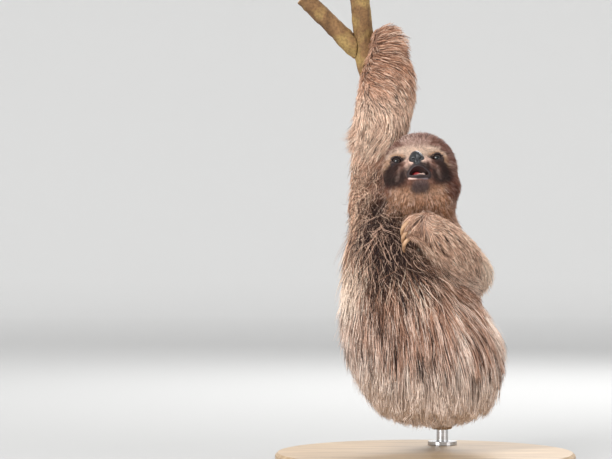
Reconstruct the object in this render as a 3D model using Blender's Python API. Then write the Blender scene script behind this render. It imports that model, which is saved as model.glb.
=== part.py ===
"""A brown-throated three-toed sloth (Bradypus variegatus), a slender young adult, as a still model.

The animal clings to a cut, forked stem, and a plain stand holds the stem upright. Its back looks
along -Y and its belly hugs the stem on the +Y side. The neck is turned half round, so that the face
looks along -Y too, over the back. The left arm reaches up to the fork, the right hand scratches the
nape, and both feet grip the stem from behind. Left and right are the animal's own: its trunk and
limbs have their left at -X, and its turned head has its left at +X.

Sizes and places are in millimetres and become metres where a mesh is made. +Z is up, and the origin
is the middle of the stand's underside. Each solid of flesh reaches out to the tips of its coat.
"""

import math

import bmesh
import bpy
from mathutils import Matrix, Vector

MM = 0.001
CLEARANCE = 0.42  # how far a neighbour is grown before it cuts, so that about 0.3 stays clear
REST_GAP = 0.3  # between flat faces that rest on each other
EAST, NORTH, UP = Vector((1, 0, 0)), Vector((0, 1, 0)), Vector((0, 0, 1))
SIDES = 12  # corners of a limb's section
BODY_SIDES = 20  # of the trunk's and the head's
DOME_STEPS = 2  # rings in each rounded end
MERGE = 0.00001  # points of a cut this close become one, in metres
SHARP = math.radians(50)  # edges of stand and stem that bend more than this aren't shaded smooth

# Stand
BASE_RADIUS = 150
BASE_THICKNESS = 18
BASE_EDGE = 2.5
BASE_SIDES = 48
ROD_RADIUS = 6
ROD_SIDES = 24
FLANGE_RADIUS = 15
FLANGE_THICKNESS = 3.5

# Perch: a stem with one fork, cut at all three ends
STEM_RADIUS = 10
STEM_TOP = Vector((-65, 41, 482))
STEM_FORK = Vector((-59, 47, 420))
STEM_FOOT = Vector((22, 85.6, 34))
PRONG_RADIUS = 9.5
PRONG_TIP = Vector((-122, 40, 477))
STEM_SWELL = [  # height and the stem's thickness there; it is thickest in the knot at the fork
    (STEM_FOOT.z, 1.08),
    (130, 1.02),
    (230, 1.0),
    (330, 1.0),
    (395, 1.04),
    (416, 1.2),
    (436, 1.06),
    (STEM_TOP.z, 1.0),
]
PRONG_SWELL = [(0, 0.9), (0.2, 1.12), (0.45, 1.0), (1, 0.92)]  # share of the way to the tip, thickness
PRONG_DROP = 4  # the prong's root lies this far below the fork's middle

# Trunk from the shoulders down to the rump, and the tail: place, half width, half depth
TRUNK = [
    (-25, 3, 262, 42, 36),
    (-29, 0, 235, 53, 45),
    (-22, -3, 200, 63, 52),
    (-12, -5, 165, 73, 59),
    (-2, -6, 132, 80.5, 63),
    (2.5, -5, 105, 79.5, 63),
    (6.5, -4, 80, 71, 56),
    (7.5, -3, 62, 57, 45),
]
TRUNK_DOMES = (16, 18)
TAIL = [(4, -24, 78, 13, 13), (4, -34, 69, 12, 12), (4, -40, 61, 10, 10)]
NECK = [(-12, 2, 256, 37, 37), (-5, -15, 272, 38, 38), (-4, -30, 287, 37, 37)]

# Head, in its own axes: side (its left is negative), forward to the nose, up
HEAD_CENTRE = Vector((-11, -42, 298))
HEAD_PITCH = math.radians(30)  # chin up
HEAD_ROLL = math.radians(-5.5)
HEAD_YAW = math.radians(2)
HEAD_RADIUS = 40
HEAD_LEAN = -5  # the fluffed crown and cheeks lie to the left of the face's middle
HEAD_PROFILE = [  # share of the lean, forward, up, then half width and half height in head radii
    (1, -27, 2, 0.70, 0.68),
    (1, -14, 1, 0.93, 0.91),
    (1, 1, 0, 1.0, 0.99),
    (0.8, 13, -0.5, 0.95, 0.95),
    (0.5, 22, -2.5, 0.86, 0.87),
    (0.2, 30, -6, 0.72, 0.73),
    (0, 36, -12, 0.55, 0.57),
    (0, 41, -17, 0.40, 0.45),
    (0, 45, -19.5, 0.27, 0.32),
]
HEAD_DOMES = (12, 3.5)
EYE_RADIUS = 5.4
EYE_PLACE = Vector((19.5, 29.5, -6.5))
SOCKET_REACH = 9  # the hollow in the coat before each eye lies this far forward of it
SOCKET_SIZE = Vector((7, 6, 5.5))
NOSE_PLACE = Vector((0, 44.5, -14))
NOSE_SIZE = Vector((8, 4.5, 6.5))
EAR_PLACE = Vector((37.5, -5, 3))
EAR_SIZE = Vector((4, 7, 8.5))
MOUTH_WIDTH = 25
MOUTH_CORNER = Vector((0, 27, -26.5))
MOUTH_UPPER_LIP = Vector((0, 50, -21.5))
MOUTH_LOWER_LIP = Vector((0, 48, -33))
MOUTH_STATIONS = (0, 0.12, 0.4, 0.7, 1)  # shares of the way from the corners to the lips
MOUTH_LEAST = 0.8  # half the gap between the lips at the corners
TONGUE = [(0, 29, -27.5, 5, 1.2), (0, 35, -29, 6.5, 1.9), (0, 41, -30.5, 5.5, 1.8)]
JAW_HINGE = Vector((0, 12, -24))
JAW_BACK_WIDTH, JAW_FRONT_WIDTH = 42, 27

# Joints of the skeleton
JOINTS = {
    "shoulder_left": Vector((-44, 4, 262)),
    "elbow_left": Vector((-45, -4, 340)),
    "wrist_left": Vector((-37, 23, 428)),
    "shoulder_right": Vector((9, 2, 243)),
    "elbow_right": Vector((51, -19, 195)),
    "wrist_right": Vector((8, -62, 236)),
    "hip_left": Vector((-30, 8, 100)),
    "knee_left": Vector((-57, 43, 148)),
    "ankle_left": Vector((-31, 90, 152)),
    "hip_right": Vector((34, 8, 92)),
    "knee_right": Vector((54, 43, 108)),
    "ankle_right": Vector((37, 96, 102)),
}

# Limb segments: where from and to, the coat's radius at start, middle and end, how the middle bows
SEGMENTS = {
    "upper_arm_left": ("shoulder_left", "elbow_left", (35, 29, 29), (-2, 0, 0)),
    "forearm_left": ("elbow_left", "wrist_left", (29, 29, 17), (4, 0, 6)),
    "upper_arm_right": ("shoulder_right", "elbow_right", (27, 21, 17), (-1, 2, -2)),
    "forearm_right": ("elbow_right", "wrist_right", (18, 23, 20), (0, -3, -1)),
    "thigh_left": ("hip_left", "knee_left", (38, 34, 27), (-4, 0, 0)),
    "shin_left": ("knee_left", "ankle_left", (25, 20, 14), (-2, 6, 1)),
    "thigh_right": ("hip_right", "knee_right", (38, 35, 27), (3, -1, 0)),
    "shin_right": ("knee_right", "ankle_right", (25, 20, 14), (3, 6, 0)),
}

# Hands and feet that hook round the stem: the radius at the joint, then places beside the stem (turn
# from +X towards +Y in degrees, rise above the joint, distance from the stem's axis, radius), then the
# turns of the claws' bases and tips
GRIPS = {
    "hand_left": ("wrist_left", 17, [(-35, 7, 24, 13), (15, 6, 21, 11.5), (52, 4, 20.5, 9)], (62, 165)),
    "foot_left": ("ankle_left", 14, [(128, -1, 26, 13), (95, -2, 22.5, 11.5), (68, -2, 21, 9)], (58, -45)),
    "foot_right": (
        "ankle_right",
        14,
        [(52, -1, 26, 13), (85, -2, 22.5, 11.5), (112, -2, 21, 9)],
        (122, 225),
    ),
}

# The free right hand, from its wrist: places with a radius, then one claw's path from its knuckle
FREE_HAND = [(0, 0, 0, 19), (-11, -6, 8, 16), (-20, -7, 9, 12)]
FREE_KNUCKLE = Vector((-25, -13, 13))
FREE_KNUCKLE_STEP = Vector((1, 4, -7.5))
FREE_CLAW = [Vector((0, 0, 0)), Vector((-6, -1, -4)), Vector((-9, 4, -10)), Vector((-8, 11, -15))]

CLAW_RADIUS = 2.7
CLAW_TAPER = (1.0, 0.95, 0.8, 0.45)  # from knuckle to tip
CLAW_SPREAD = 7.5  # from one claw of a hand or foot to the next
CLAW_FAN = 1.5  # how much further apart the outer tips are than their bases
CLAW_LIFT = 1.5  # how much further from the stem a claw's base is than its tip
GRIP = STEM_RADIUS + CLAW_RADIUS + 0.6  # from the stem's axis to a claw's tip

COLOURS = {  # colour, roughness, metallic
    "coat": ((0.30, 0.20, 0.15), 0.9, 0.0),
    "face": ((0.55, 0.43, 0.33), 0.9, 0.0),
    "nose": ((0.02, 0.02, 0.022), 0.3, 0.0),
    "tongue": ((0.42, 0.10, 0.10), 0.45, 0.0),
    "eye": ((0.012, 0.008, 0.007), 0.08, 0.0),
    "claw": ((0.42, 0.33, 0.22), 0.4, 0.0),
    "bark": ((0.26, 0.19, 0.13), 0.85, 0.0),
    "stand": ((0.55, 0.53, 0.50), 0.6, 0.0),
    "steel": ((0.55, 0.55, 0.56), 0.3, 1.0),
}


def clear_scene():
    for obj in list(bpy.data.objects):
        bpy.data.objects.remove(obj, do_unlink=True)


def material(kind):
    found = bpy.data.materials.get(kind)
    if found is None:
        colour, roughness, metallic = COLOURS[kind]
        found = bpy.data.materials.new(kind)
        found.use_nodes = True
        shader = found.node_tree.nodes["Principled BSDF"]
        shader.inputs["Base Color"].default_value = (*colour, 1)
        shader.inputs["Roughness"].default_value = roughness
        shader.inputs["Metallic"].default_value = metallic
    return found


def curve_through(knots, count):
    """Evenly spaced samples of a smooth curve through tuples of numbers (Catmull-Rom)."""
    ends = [knots[0], *knots, knots[-1]]
    spans = len(knots) - 1
    samples = []
    for index in range(count):
        along = index / (count - 1) * spans
        span = min(int(along), spans - 1)
        t = along - span
        a, b, c, d = ends[span : span + 4]
        blend = (
            -0.5 * t + t**2 - 0.5 * t**3,
            1 - 2.5 * t**2 + 1.5 * t**3,
            0.5 * t + 2 * t**2 - 1.5 * t**3,
            -0.5 * t**2 + 0.5 * t**3,
        )
        samples.append(tuple(sum(map(math.prod, zip(blend, four))) for four in zip(a, b, c, d)))
    return samples


def ring(centre, wide, high, half_wide, half_high, sides):
    turn = 2 * math.pi / sides
    return [
        centre + wide * (half_wide * math.cos(i * turn)) + high * (half_high * math.sin(i * turn))
        for i in range(sides)
    ]


def sweep(knots, sides=SIDES, count=6, across=None, facing=None, domes=None):
    """Rings round a smooth path through knots (x, y, z, half width, half height), closed by domes.

    across is the direction of the width. Rings are square to the path, or all face one way if
    facing is given. domes gives the depths of the two rounded ends.
    """
    path = curve_through([tuple(knot) for knot in knots], count)
    places = [Vector(p[:3]) for p in path]
    tangents = [
        (places[min(i + 1, count - 1)] - places[max(i - 1, 0)]).normalized() for i in range(count)
    ]
    if facing:
        tangents = [Vector(facing)] * count
    wide = Vector(across) if across else tangents[0].orthogonal()
    rings = []
    for place, tangent, sample in zip(places, tangents, path):
        wide = (wide - tangent * wide.dot(tangent)).normalized()
        rings.append((place, wide.copy(), tangent.cross(wide), *sample[3:], tangent))
    depths = domes or (min(path[0][3:]), min(path[-1][3:]))
    start, end = rings[0], rings[-1]
    points = [[start[0] - start[5] * depths[0]]]
    angles = [math.pi / 2 * k / (DOME_STEPS + 1) for k in range(1, DOME_STEPS + 1)]

    def dome_ring(base, reach, angle):
        centre = base[0] + base[5] * (reach * math.sin(angle))
        shrink = math.cos(angle)
        return ring(centre, base[1], base[2], base[3] * shrink, base[4] * shrink, sides)

    points += [dome_ring(start, -depths[0], angle) for angle in reversed(angles)]
    points += [ring(*base[:5], sides) for base in rings]
    points += [dome_ring(end, depths[1], angle) for angle in angles]
    points.append([end[0] + end[5] * depths[1]])
    return points


def solid(name, rings, kind, matrix=None):
    """One closed body through rings of points, the first and last of which are single points."""
    place = matrix or Matrix()
    bm = bmesh.new()
    loops = [[bm.verts.new(place @ point * MM) for point in points] for points in rings]
    for low, high in zip(loops, loops[1:]):
        sides = max(len(low), len(high))
        for i in range(sides):
            j = (i + 1) % sides
            corners = [low[i % len(low)], low[j % len(low)], high[j % len(high)], high[i % len(high)]]
            bm.faces.new(list(dict.fromkeys(corners)))
    bmesh.ops.recalc_face_normals(bm, faces=bm.faces)
    mesh = bpy.data.meshes.new(name)
    bm.to_mesh(mesh)
    bm.free()
    return add(name, mesh, kind)


def add(name, mesh, kind):
    obj = bpy.data.objects.new(name, mesh)
    bpy.context.scene.collection.objects.link(obj)
    mesh.materials.clear()
    mesh.materials.append(material(kind))
    mesh.shade_smooth()
    return obj


def ellipsoid(name, centre, size, kind, matrix=None, sides=10):
    """An egg shape with half its size given along each axis."""
    knots = [centre + NORTH * (step * 0.5 * size.y) for step in (-1, 0, 1)]
    swell = math.sqrt(0.75)
    widths = [(swell * size.x, swell * size.z), (size.x, size.z), (swell * size.x, swell * size.z)]
    path = [(*knot, *width) for knot, width in zip(knots, widths)]
    rings = sweep(path, sides=sides, count=3, across=EAST, domes=(size.y * 0.5, size.y * 0.5))
    return solid(name, rings, kind, matrix)


def largest_body(mesh):
    """Drops the small chips that a cut leaves, and its needle-thin faces."""
    bm = bmesh.new()
    bm.from_mesh(mesh)
    bmesh.ops.remove_doubles(bm, verts=bm.verts, dist=MERGE)
    bmesh.ops.dissolve_degenerate(bm, edges=bm.edges, dist=MERGE)
    unseen = set(bm.verts)
    bodies = []
    while unseen:
        front = [unseen.pop()]
        body = list(front)
        while front:
            here = front.pop()
            around = {edge.other_vert(here) for edge in here.link_edges} & unseen
            unseen -= around
            front += around
            body += around
        bodies.append(body)
    bodies.sort(key=spread)
    for body in bodies[:-1]:
        bmesh.ops.delete(bm, geom=body, context="VERTS")
    bmesh.ops.triangulate(bm, faces=[f for f in bm.faces if len(f.verts) > 4])
    bm.to_mesh(mesh)
    bm.free()


def spread(verts):
    """How far some vertices spread: the diagonal of their box."""
    low = [min(v.co[axis] for v in verts) for axis in range(3)]
    high = [max(v.co[axis] for v in verts) for axis in range(3)]
    return math.dist(low, high)


def carve(piece, *neighbours, clearance=CLEARANCE, operation="DIFFERENCE"):
    """Cuts the room that the neighbours need out of a piece."""
    for neighbour in neighbours:
        cutter = neighbour.copy()
        cutter.data = neighbour.data.copy()
        bpy.context.scene.collection.objects.link(cutter)
        moved = [v.co + v.normal * clearance * MM for v in cutter.data.vertices]
        for vertex, place in zip(cutter.data.vertices, moved):
            vertex.co = place
        cut = piece.modifiers.new("cut", "BOOLEAN")
        cut.operation = operation
        cut.solver = "EXACT"
        cut.object = cutter
        depsgraph = bpy.context.evaluated_depsgraph_get()
        mesh = bpy.data.meshes.new_from_object(piece.evaluated_get(depsgraph))
        piece.modifiers.clear()
        piece.data = mesh
        mesh.name = piece.name
        largest_body(mesh)
        bpy.data.objects.remove(cutter, do_unlink=True)


def stem_at(height):
    """The point of the stem's axis at a height."""
    low, high = (STEM_FOOT, STEM_FORK) if height < STEM_FORK.z else (STEM_FORK, STEM_TOP)
    return low.lerp(high, (height - low.z) / (high.z - low.z))


def make_stand():
    edge = BASE_RADIUS - BASE_EDGE
    top = BASE_THICKNESS
    levels = [(0, edge), (BASE_EDGE, BASE_RADIUS), (top - BASE_EDGE, BASE_RADIUS), (top, edge)]
    rings = [ring(Vector((0, 0, z)), EAST, NORTH, r, r, BASE_SIDES) for z, r in levels]
    rings = [[Vector((0, 0, 0))], *rings, [Vector((0, 0, top))]]
    base = solid("stand_base", rings, "stand")
    base.data.set_sharp_from_angle(angle=SHARP)

    foot = STEM_FOOT
    floor = BASE_THICKNESS + REST_GAP
    top = STEM_FOOT.z - REST_GAP
    levels = [(floor, FLANGE_RADIUS), (floor + FLANGE_THICKNESS, FLANGE_RADIUS)]
    levels += [(floor + FLANGE_THICKNESS, ROD_RADIUS), (top, ROD_RADIUS)]
    rings = [ring(Vector((foot.x, foot.y, z)), EAST, NORTH, r, r, ROD_SIDES) for z, r in levels]
    rings = [[Vector((foot.x, foot.y, floor))], *rings, [Vector((foot.x, foot.y, top))]]
    rod = solid("stand_rod", rings, "steel")
    rod.data.set_sharp_from_angle(angle=SHARP)


def make_perch():
    """The stem and the prong of its fork, with flat sawn ends."""
    rings = [[STEM_FOOT]]
    for height, scale in STEM_SWELL:
        radius = STEM_RADIUS * scale
        rings.append(ring(stem_at(height), EAST, NORTH, radius, radius, SIDES))
    rings.append([STEM_TOP])
    stem = solid("perch_stem", rings, "bark")

    root = STEM_FORK - UP * PRONG_DROP
    along = (PRONG_TIP - root).normalized()
    high = (NORTH - along * NORTH.dot(along)).normalized()
    wide = high.cross(along)
    rings = [[root]]
    for share, scale in PRONG_SWELL:
        radius = PRONG_RADIUS * scale
        rings.append(ring(root.lerp(PRONG_TIP, share), wide, high, radius, radius, SIDES))
    rings.append([PRONG_TIP])
    prong = solid("perch_prong", rings, "bark")
    carve(prong, stem)
    for piece in (stem, prong):
        piece.data.set_sharp_from_angle(angle=SHARP)
    return stem, prong


def make_trunk(stem, prong):
    """The trunk, from the shoulders down to the rump, and the stub of a tail."""
    rings = sweep(TRUNK, sides=BODY_SIDES, count=12, across=EAST, facing=-UP, domes=TRUNK_DOMES)
    trunk = solid("trunk", rings, "coat")
    carve(trunk, stem, prong)
    tail = solid("tail", sweep(TAIL, count=5), "coat")
    carve(tail, trunk)
    return trunk, tail


def head_frame():
    """From the head's own axes (side, forward, up) to the part's."""
    turned_round = Matrix.Rotation(math.pi, 4, "Z")
    facing = Matrix.Rotation(-HEAD_YAW, 4, "Z") @ Matrix.Rotation(-HEAD_PITCH, 4, "X")
    return Matrix.Translation(HEAD_CENTRE) @ facing @ Matrix.Rotation(HEAD_ROLL, 4, "Y") @ turned_round


def mouth_cutter(frame):
    """The wedge of space between the lips, rounded at the corners of the mouth."""
    rings = []
    for share in MOUTH_STATIONS:
        upper = MOUTH_CORNER.lerp(MOUTH_UPPER_LIP, share)
        lower = MOUTH_CORNER.lerp(MOUTH_LOWER_LIP, share)
        half_high = (upper - lower).length / 2 + MOUTH_LEAST
        half_wide = MOUTH_WIDTH / 2 * min(1, 0.6 + share)
        rings.append(ring((upper + lower) / 2, EAST, UP, half_wide, half_high, SIDES))
    rings = [[MOUTH_CORNER - NORTH], *rings, [(MOUTH_UPPER_LIP + MOUTH_LOWER_LIP) / 2]]
    return solid("mouth_cutter", rings, "tongue", frame)


def jaw_block(frame):
    """All that lies below the line from the jaw's hinge through the mouth, from the throat forward."""
    front = (MOUTH_UPPER_LIP + MOUTH_LOWER_LIP) / 2
    front = JAW_HINGE + (front - JAW_HINGE) * 1.4
    deep = UP * -HEAD_RADIUS
    rings = []
    for place, width in ((JAW_HINGE, JAW_BACK_WIDTH), (front, JAW_FRONT_WIDTH)):
        side = EAST * (width / 2)
        rings.append([place - side, place + side, place + side + deep, place - side + deep])
    rings = [[sum(rings[0], Vector()) / 4], *rings, [sum(rings[1], Vector()) / 4]]
    return solid("jaw_block", rings, "face", frame)


def make_head():
    """Head, jaw, nose pad, tongue, eyes and ears, in the head's own axes."""
    frame = head_frame()
    knots = [
        (lean * HEAD_LEAN, forward, up, wide * HEAD_RADIUS, high * HEAD_RADIUS)
        for lean, forward, up, wide, high in HEAD_PROFILE
    ]
    rings = sweep(knots, sides=BODY_SIDES, count=12, across=EAST, facing=NORTH, domes=HEAD_DOMES)
    head = solid("head", rings, "face", frame)
    jaw = solid("jaw", rings, "face", frame)
    block, mouth = jaw_block(frame), mouth_cutter(frame)
    nose = ellipsoid("nose", NOSE_PLACE, NOSE_SIZE, "nose", frame)
    carve(jaw, block, clearance=0, operation="INTERSECT")
    carve(head, block)
    for piece in (head, jaw):
        carve(piece, mouth, clearance=0)
    carve(head, nose)
    for cutter in (block, mouth):
        bpy.data.objects.remove(cutter, do_unlink=True)
    tongue = solid("tongue", sweep(TONGUE, count=5, across=EAST), "tongue", frame)
    carve(tongue, head, jaw)
    ears = []
    for side, sign in (("left", -1), ("right", 1)):
        mirror = Vector((sign, 1, 1))
        opening = EYE_PLACE * mirror + NORTH * SOCKET_REACH
        hollow = ellipsoid("hollow", opening, SOCKET_SIZE, "eye", frame)
        eye = ellipsoid("eye_" + side, EYE_PLACE * mirror, Vector([EYE_RADIUS] * 3), "eye", frame)
        ear_place = EAR_PLACE * mirror + EAST * HEAD_LEAN
        ear = ellipsoid("ear_" + side, ear_place, EAR_SIZE, "coat", frame)
        carve(head, hollow, clearance=0)
        carve(head, eye)
        carve(ear, head)
        bpy.data.objects.remove(hollow, do_unlink=True)
        ears.append(ear)
    return [head, jaw, *ears]


def make_neck(*neighbours):
    neck = solid("neck", sweep(NECK, sides=16, count=5), "coat")
    carve(neck, *neighbours)
    return neck


def make_segment(name):
    start, end, radii, bow = SEGMENTS[name]
    first, last = JOINTS[start], JOINTS[end]
    middle = (first + last) / 2 + Vector(bow)
    knots = [(*p, r, r) for p, r in zip((first, middle, last), radii)]
    return solid(name, sweep(knots), "coat")


def around_stem(height, turn, distance):
    """A point beside the stem: turn is the angle from +X towards +Y, in degrees."""
    angle = math.radians(turn)
    return stem_at(height) + (EAST * math.cos(angle) + NORTH * math.sin(angle)) * distance


def make_claws(limb, paths, neighbours):
    made = []
    for number, path in enumerate(paths, 1):
        widths = [CLAW_RADIUS * taper for taper in CLAW_TAPER]
        knots = [(*place, width, width * 1.1) for place, width in zip(path, widths)]
        claw = solid(f"claw_{limb}_{number}", sweep(knots, sides=6, across=(0.1, 0.2, 1)), "claw")
        carve(claw, *neighbours, *made)
        made.append(claw)


def make_grip(limb, stem, neighbours):
    """A hand or foot that hooks round the stem, and its three claws."""
    joint, radius, beside, (first, last) = GRIPS[limb]
    start = JOINTS[joint]
    knots = [(*start, radius, radius)]
    for turn, rise, distance, radius in beside:
        knots.append((*around_stem(start.z + rise, turn, distance), radius, radius))
    palm = solid(limb, sweep(knots), "coat")
    carve(palm, stem, *neighbours)
    paths = []
    for index in (-1, 0, 1):
        height = start.z + beside[-1][1] + index * CLAW_SPREAD
        path = []
        for step in range(len(CLAW_TAPER)):
            share = step / (len(CLAW_TAPER) - 1)
            fan = CLAW_FAN * index * share
            turn = first + (last - first) * share
            path.append(around_stem(height + fan, turn, GRIP + CLAW_LIFT * (1 - share)))
        paths.append(path)
    make_claws(limb, paths, [stem, palm, *neighbours])


def make_free_hand(made, trunk, neck, head_pieces):
    """The right hand, folded back to the nape with its claws in the coat."""
    wrist = JOINTS["wrist_right"]
    knots = [(wrist.x + x, wrist.y + y, wrist.z + z, r, r) for x, y, z, r in FREE_HAND]
    palm = solid("hand_right", sweep(knots), "coat")
    carve(palm, made["forearm_right"], trunk, neck, *head_pieces)
    knuckles = [wrist + FREE_KNUCKLE + FREE_KNUCKLE_STEP * index for index in range(3)]
    paths = [[knuckle + place for place in FREE_CLAW] for knuckle in knuckles]
    make_claws("hand_right", paths, [palm, trunk, neck, made["upper_arm_left"]])


def make_limbs(stem, prong, trunk, neck, head_pieces, tail):
    made = {}
    for side in ("left", "right"):
        for upper, lower, others in (
            ("upper_arm_", "forearm_", [trunk, neck, *head_pieces]),
            ("thigh_", "shin_", [trunk, tail]),
        ):
            top, bottom = make_segment(upper + side), make_segment(lower + side)
            carve(top, stem, prong, *others)
            carve(bottom, stem, prong, top, *others)
            made[upper + side], made[lower + side] = top, bottom
    make_grip("hand_left", stem, [made["forearm_left"], prong])
    make_grip("foot_left", stem, [made["shin_left"], trunk])
    make_grip("foot_right", stem, [made["shin_right"], trunk])
    make_free_hand(made, trunk, neck, head_pieces)


def main():
    clear_scene()
    make_stand()
    stem, prong = make_perch()
    trunk, tail = make_trunk(stem, prong)
    head_pieces = make_head()
    carve(trunk, *head_pieces)
    neck = make_neck(trunk, *head_pieces)
    make_limbs(stem, prong, trunk, neck, head_pieces, tail)


main()
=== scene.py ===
"""The looks of the three-toed sloth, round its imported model.

One skin with lids, lips and folds replaces the nodes of flesh and lies inside them by the depth of
the coat. The coat is solid tufts that follow the lie of the hair. Eyes, nose, tongue, claws and the
forked stem are finer meshes in place of their nodes, and the stand keeps its own.

Lengths and places in the functions below are millimetres, and meshes are made in metres. Places
come from the nodes' boxes. The head has axes of its own: side, forward, up.
"""

import math
from types import SimpleNamespace

import bmesh
import bpy
import numpy as np
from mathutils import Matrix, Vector, noise
from mathutils.bvhtree import BVHTree
from mathutils.kdtree import KDTree


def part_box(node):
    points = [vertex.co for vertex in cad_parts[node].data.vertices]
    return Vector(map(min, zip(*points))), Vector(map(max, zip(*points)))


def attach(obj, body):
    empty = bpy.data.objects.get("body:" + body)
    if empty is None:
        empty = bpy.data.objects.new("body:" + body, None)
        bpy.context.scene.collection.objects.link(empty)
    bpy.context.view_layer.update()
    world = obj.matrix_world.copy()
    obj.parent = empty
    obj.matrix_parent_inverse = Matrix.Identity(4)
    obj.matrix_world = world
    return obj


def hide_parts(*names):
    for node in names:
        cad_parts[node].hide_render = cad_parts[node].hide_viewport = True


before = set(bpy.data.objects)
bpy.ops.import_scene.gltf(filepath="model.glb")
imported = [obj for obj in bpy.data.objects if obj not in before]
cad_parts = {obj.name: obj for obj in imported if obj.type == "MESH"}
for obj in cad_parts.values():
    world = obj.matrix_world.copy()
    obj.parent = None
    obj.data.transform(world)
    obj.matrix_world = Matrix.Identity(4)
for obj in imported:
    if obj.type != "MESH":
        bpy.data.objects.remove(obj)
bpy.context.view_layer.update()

MM = 0.001
SEED = 7

# Camera, light and stage, in metres
CAMERA_PLACE = (-0.119, -2.5, 0.2405)
CAMERA_LENS = 147.06
SENSOR = 36.0
WORLD_LIGHT = 0.85
MIDDLE = (0, 0, 0.25)
FLOOR = (4500, 1500, 3500, 64)  # radii of the flat and the bend, height, and sides, in millimetres
# Each light's place, what it points at, power and size
LIGHTS = {
    "key": ((-0.9, -1.6, 1.5), MIDDLE, 37, 0.7),
    "fill": ((1.5, -1.3, 0.45), MIDDLE, 15, 1.2),
    "low fill": ((-0.75, -0.9, 0.1), (0, -0.02, 0.08), 6.5, 0.4),
    "back": ((0.4, 1.4, 1.4), MIDDLE, 30, 0.9),
}

# Skin
VOXEL = 3.0
GROWTH = 0.6  # solids are grown by this much, so that neighbours join
INSET_STEPS = 10
SAMPLES = 400  # on each node, to find which node is nearest
CORES = [((-5, -3, -2), (40, 27, 39)), ((0, 10, -24), (26, 20, 18))]  # the neck's root within the head
CORE_DEPTH = 11
# Steps to the surface of a field, and the share of the distance left that each takes
FIELD_STEPS, FIELD_STRIDE = 70, 0.75
OUTLINE_STEPS, OUTLINE_STRIDE = 120, 0.7

# Coat on each node of flesh: length and width of the hair, tufts to a square centimetre, depth
COAT = {
    "head": (8.5, 0.51, 114, 3),
    "jaw": (6.5, 0.49, 128, 3),
    "ear_left": (8, 0.6, 60, 3),
    "ear_right": (8, 0.6, 60, 3),
    "neck": (8.5, 0.56, 106, 6),
    "trunk": (46, 0.94, 27, 11),
    "tail": (22, 1.0, 32, 8),
    "upper_arm_left": (24, 0.86, 48, 7),
    "forearm_left": (18, 0.76, 56, 4.5),
    "hand_left": (10, 0.6, 80, 2),
    "upper_arm_right": (18, 0.76, 53, 7),
    "forearm_right": (13, 0.66, 71, 4.5),
    "hand_right": (8, 0.56, 89, 1.5),
    "thigh_left": (30, 1.15, 24, 13),
    "thigh_right": (30, 1.15, 24, 13),
    "shin_left": (20, 1.0, 32, 7),
    "shin_right": (20, 1.0, 32, 7),
    "foot_left": (10, 0.7, 50, 3.5),
    "foot_right": (10, 0.7, 50, 3.5),
}
DEPTH = 3  # the column of the coat's depth
HEAD_NODES = list(COAT)[:4]
BODY_NODES = list(COAT)[4:]

# Head: places from its origin inside the skull, along side, forward and up
EYE_FORWARD, EYE_RISE = 29.5, -6.5
EYE_RADIUS = 5.4
NOSE_FALL = math.atan2(7.5, 15.0)  # the nose lies this far below straight ahead of the eyes
HEAD_LEAN = -4.2
LID_TILT = math.radians(-17)  # outer corners droop
LID_HALF_WIDTH, LID_HALF_HEIGHT = 4.9, 3.5
# Round the section of a lid: share of the opening's size, height over the eyeball
LID_SECTION = [(1.0, 0.12), (0.97, 0.5), (1.02, 0.95), (1.16, 1.25), (1.4, 1.2), (1.65, 0.5)]
LID_SECTION += [(1.9, -0.9), (1.9, -3.2), (1.5, -1.8)]
LID_STATIONS, LIP_STATIONS = 56, 72
MOUTH_CENTRE = (0, 42.5, -26.0)
MOUTH_LEAN = 0.05  # one corner of the mouth is a little higher
GUM = [(1.2, 34.2, -26.9), (-1.4, 34.4, -26.6), (-4.0, 34.0, -26.3)]  # the low ridge behind the lip
NOSE_SHIFT = (0.9, -1.9, 2.2)  # the nose pad's middle from its node's
NOSE_TILT = math.radians(-12)

# Bark
BARK_VOXEL = 1.4
BARK_RELIEF = 0.75
BARK_END = 6  # the stem's axis is taken from this much of each end
SAWN_END = 9  # and bark starts at most this far from it
YEAR_RINGS = 5.5  # the higher, the closer they stand

rng = np.random.default_rng(SEED)


# ---------------------------------------------------------------- meshes and arrays


def new_object(name, data):
    obj = bpy.data.objects.new(name, data)
    bpy.context.scene.collection.objects.link(obj)
    return obj


def mesh_object(name, verts, faces):
    """A new object from places in millimetres."""
    mesh = bpy.data.meshes.new(name)
    mesh.from_pydata((np.asarray(verts) * MM).tolist(), [], [list(f) for f in faces])
    mesh.update()
    mesh.shade_smooth()
    return new_object(name, mesh)


def bmesh_object(name, bm):
    """A new object from a bmesh, which it uses up."""
    mesh = bpy.data.meshes.new(name)
    bm.to_mesh(mesh)
    bm.free()
    return new_object(name, mesh)


def arrays(mesh):
    """Vertices in millimetres and triangles of a mesh."""
    verts = np.zeros(len(mesh.vertices) * 3)
    mesh.vertices.foreach_get("co", verts)
    mesh.calc_loop_triangles()
    tris = np.zeros(len(mesh.loop_triangles) * 3, np.int32)
    mesh.loop_triangles.foreach_get("vertices", tris)
    return verts.reshape(-1, 3) / MM, tris.reshape(-1, 3)


def place_vertices(mesh, verts):
    """Sets a mesh's vertices, given in millimetres."""
    mesh.vertices.foreach_set("co", (verts * MM).ravel())


def store(mesh, name, values):
    """Keeps a number at each vertex, for a material to read."""
    mesh.attributes.new(name, "FLOAT", "POINT").data.foreach_set("value", values)


def store_tint(mesh, colours):
    """Keeps a colour at each vertex, for a material to read."""
    rgba = np.column_stack([colours, np.ones(len(colours))])
    mesh.color_attributes.new("tint", "FLOAT_COLOR", "POINT").data.foreach_set("color", rgba.ravel())


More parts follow.
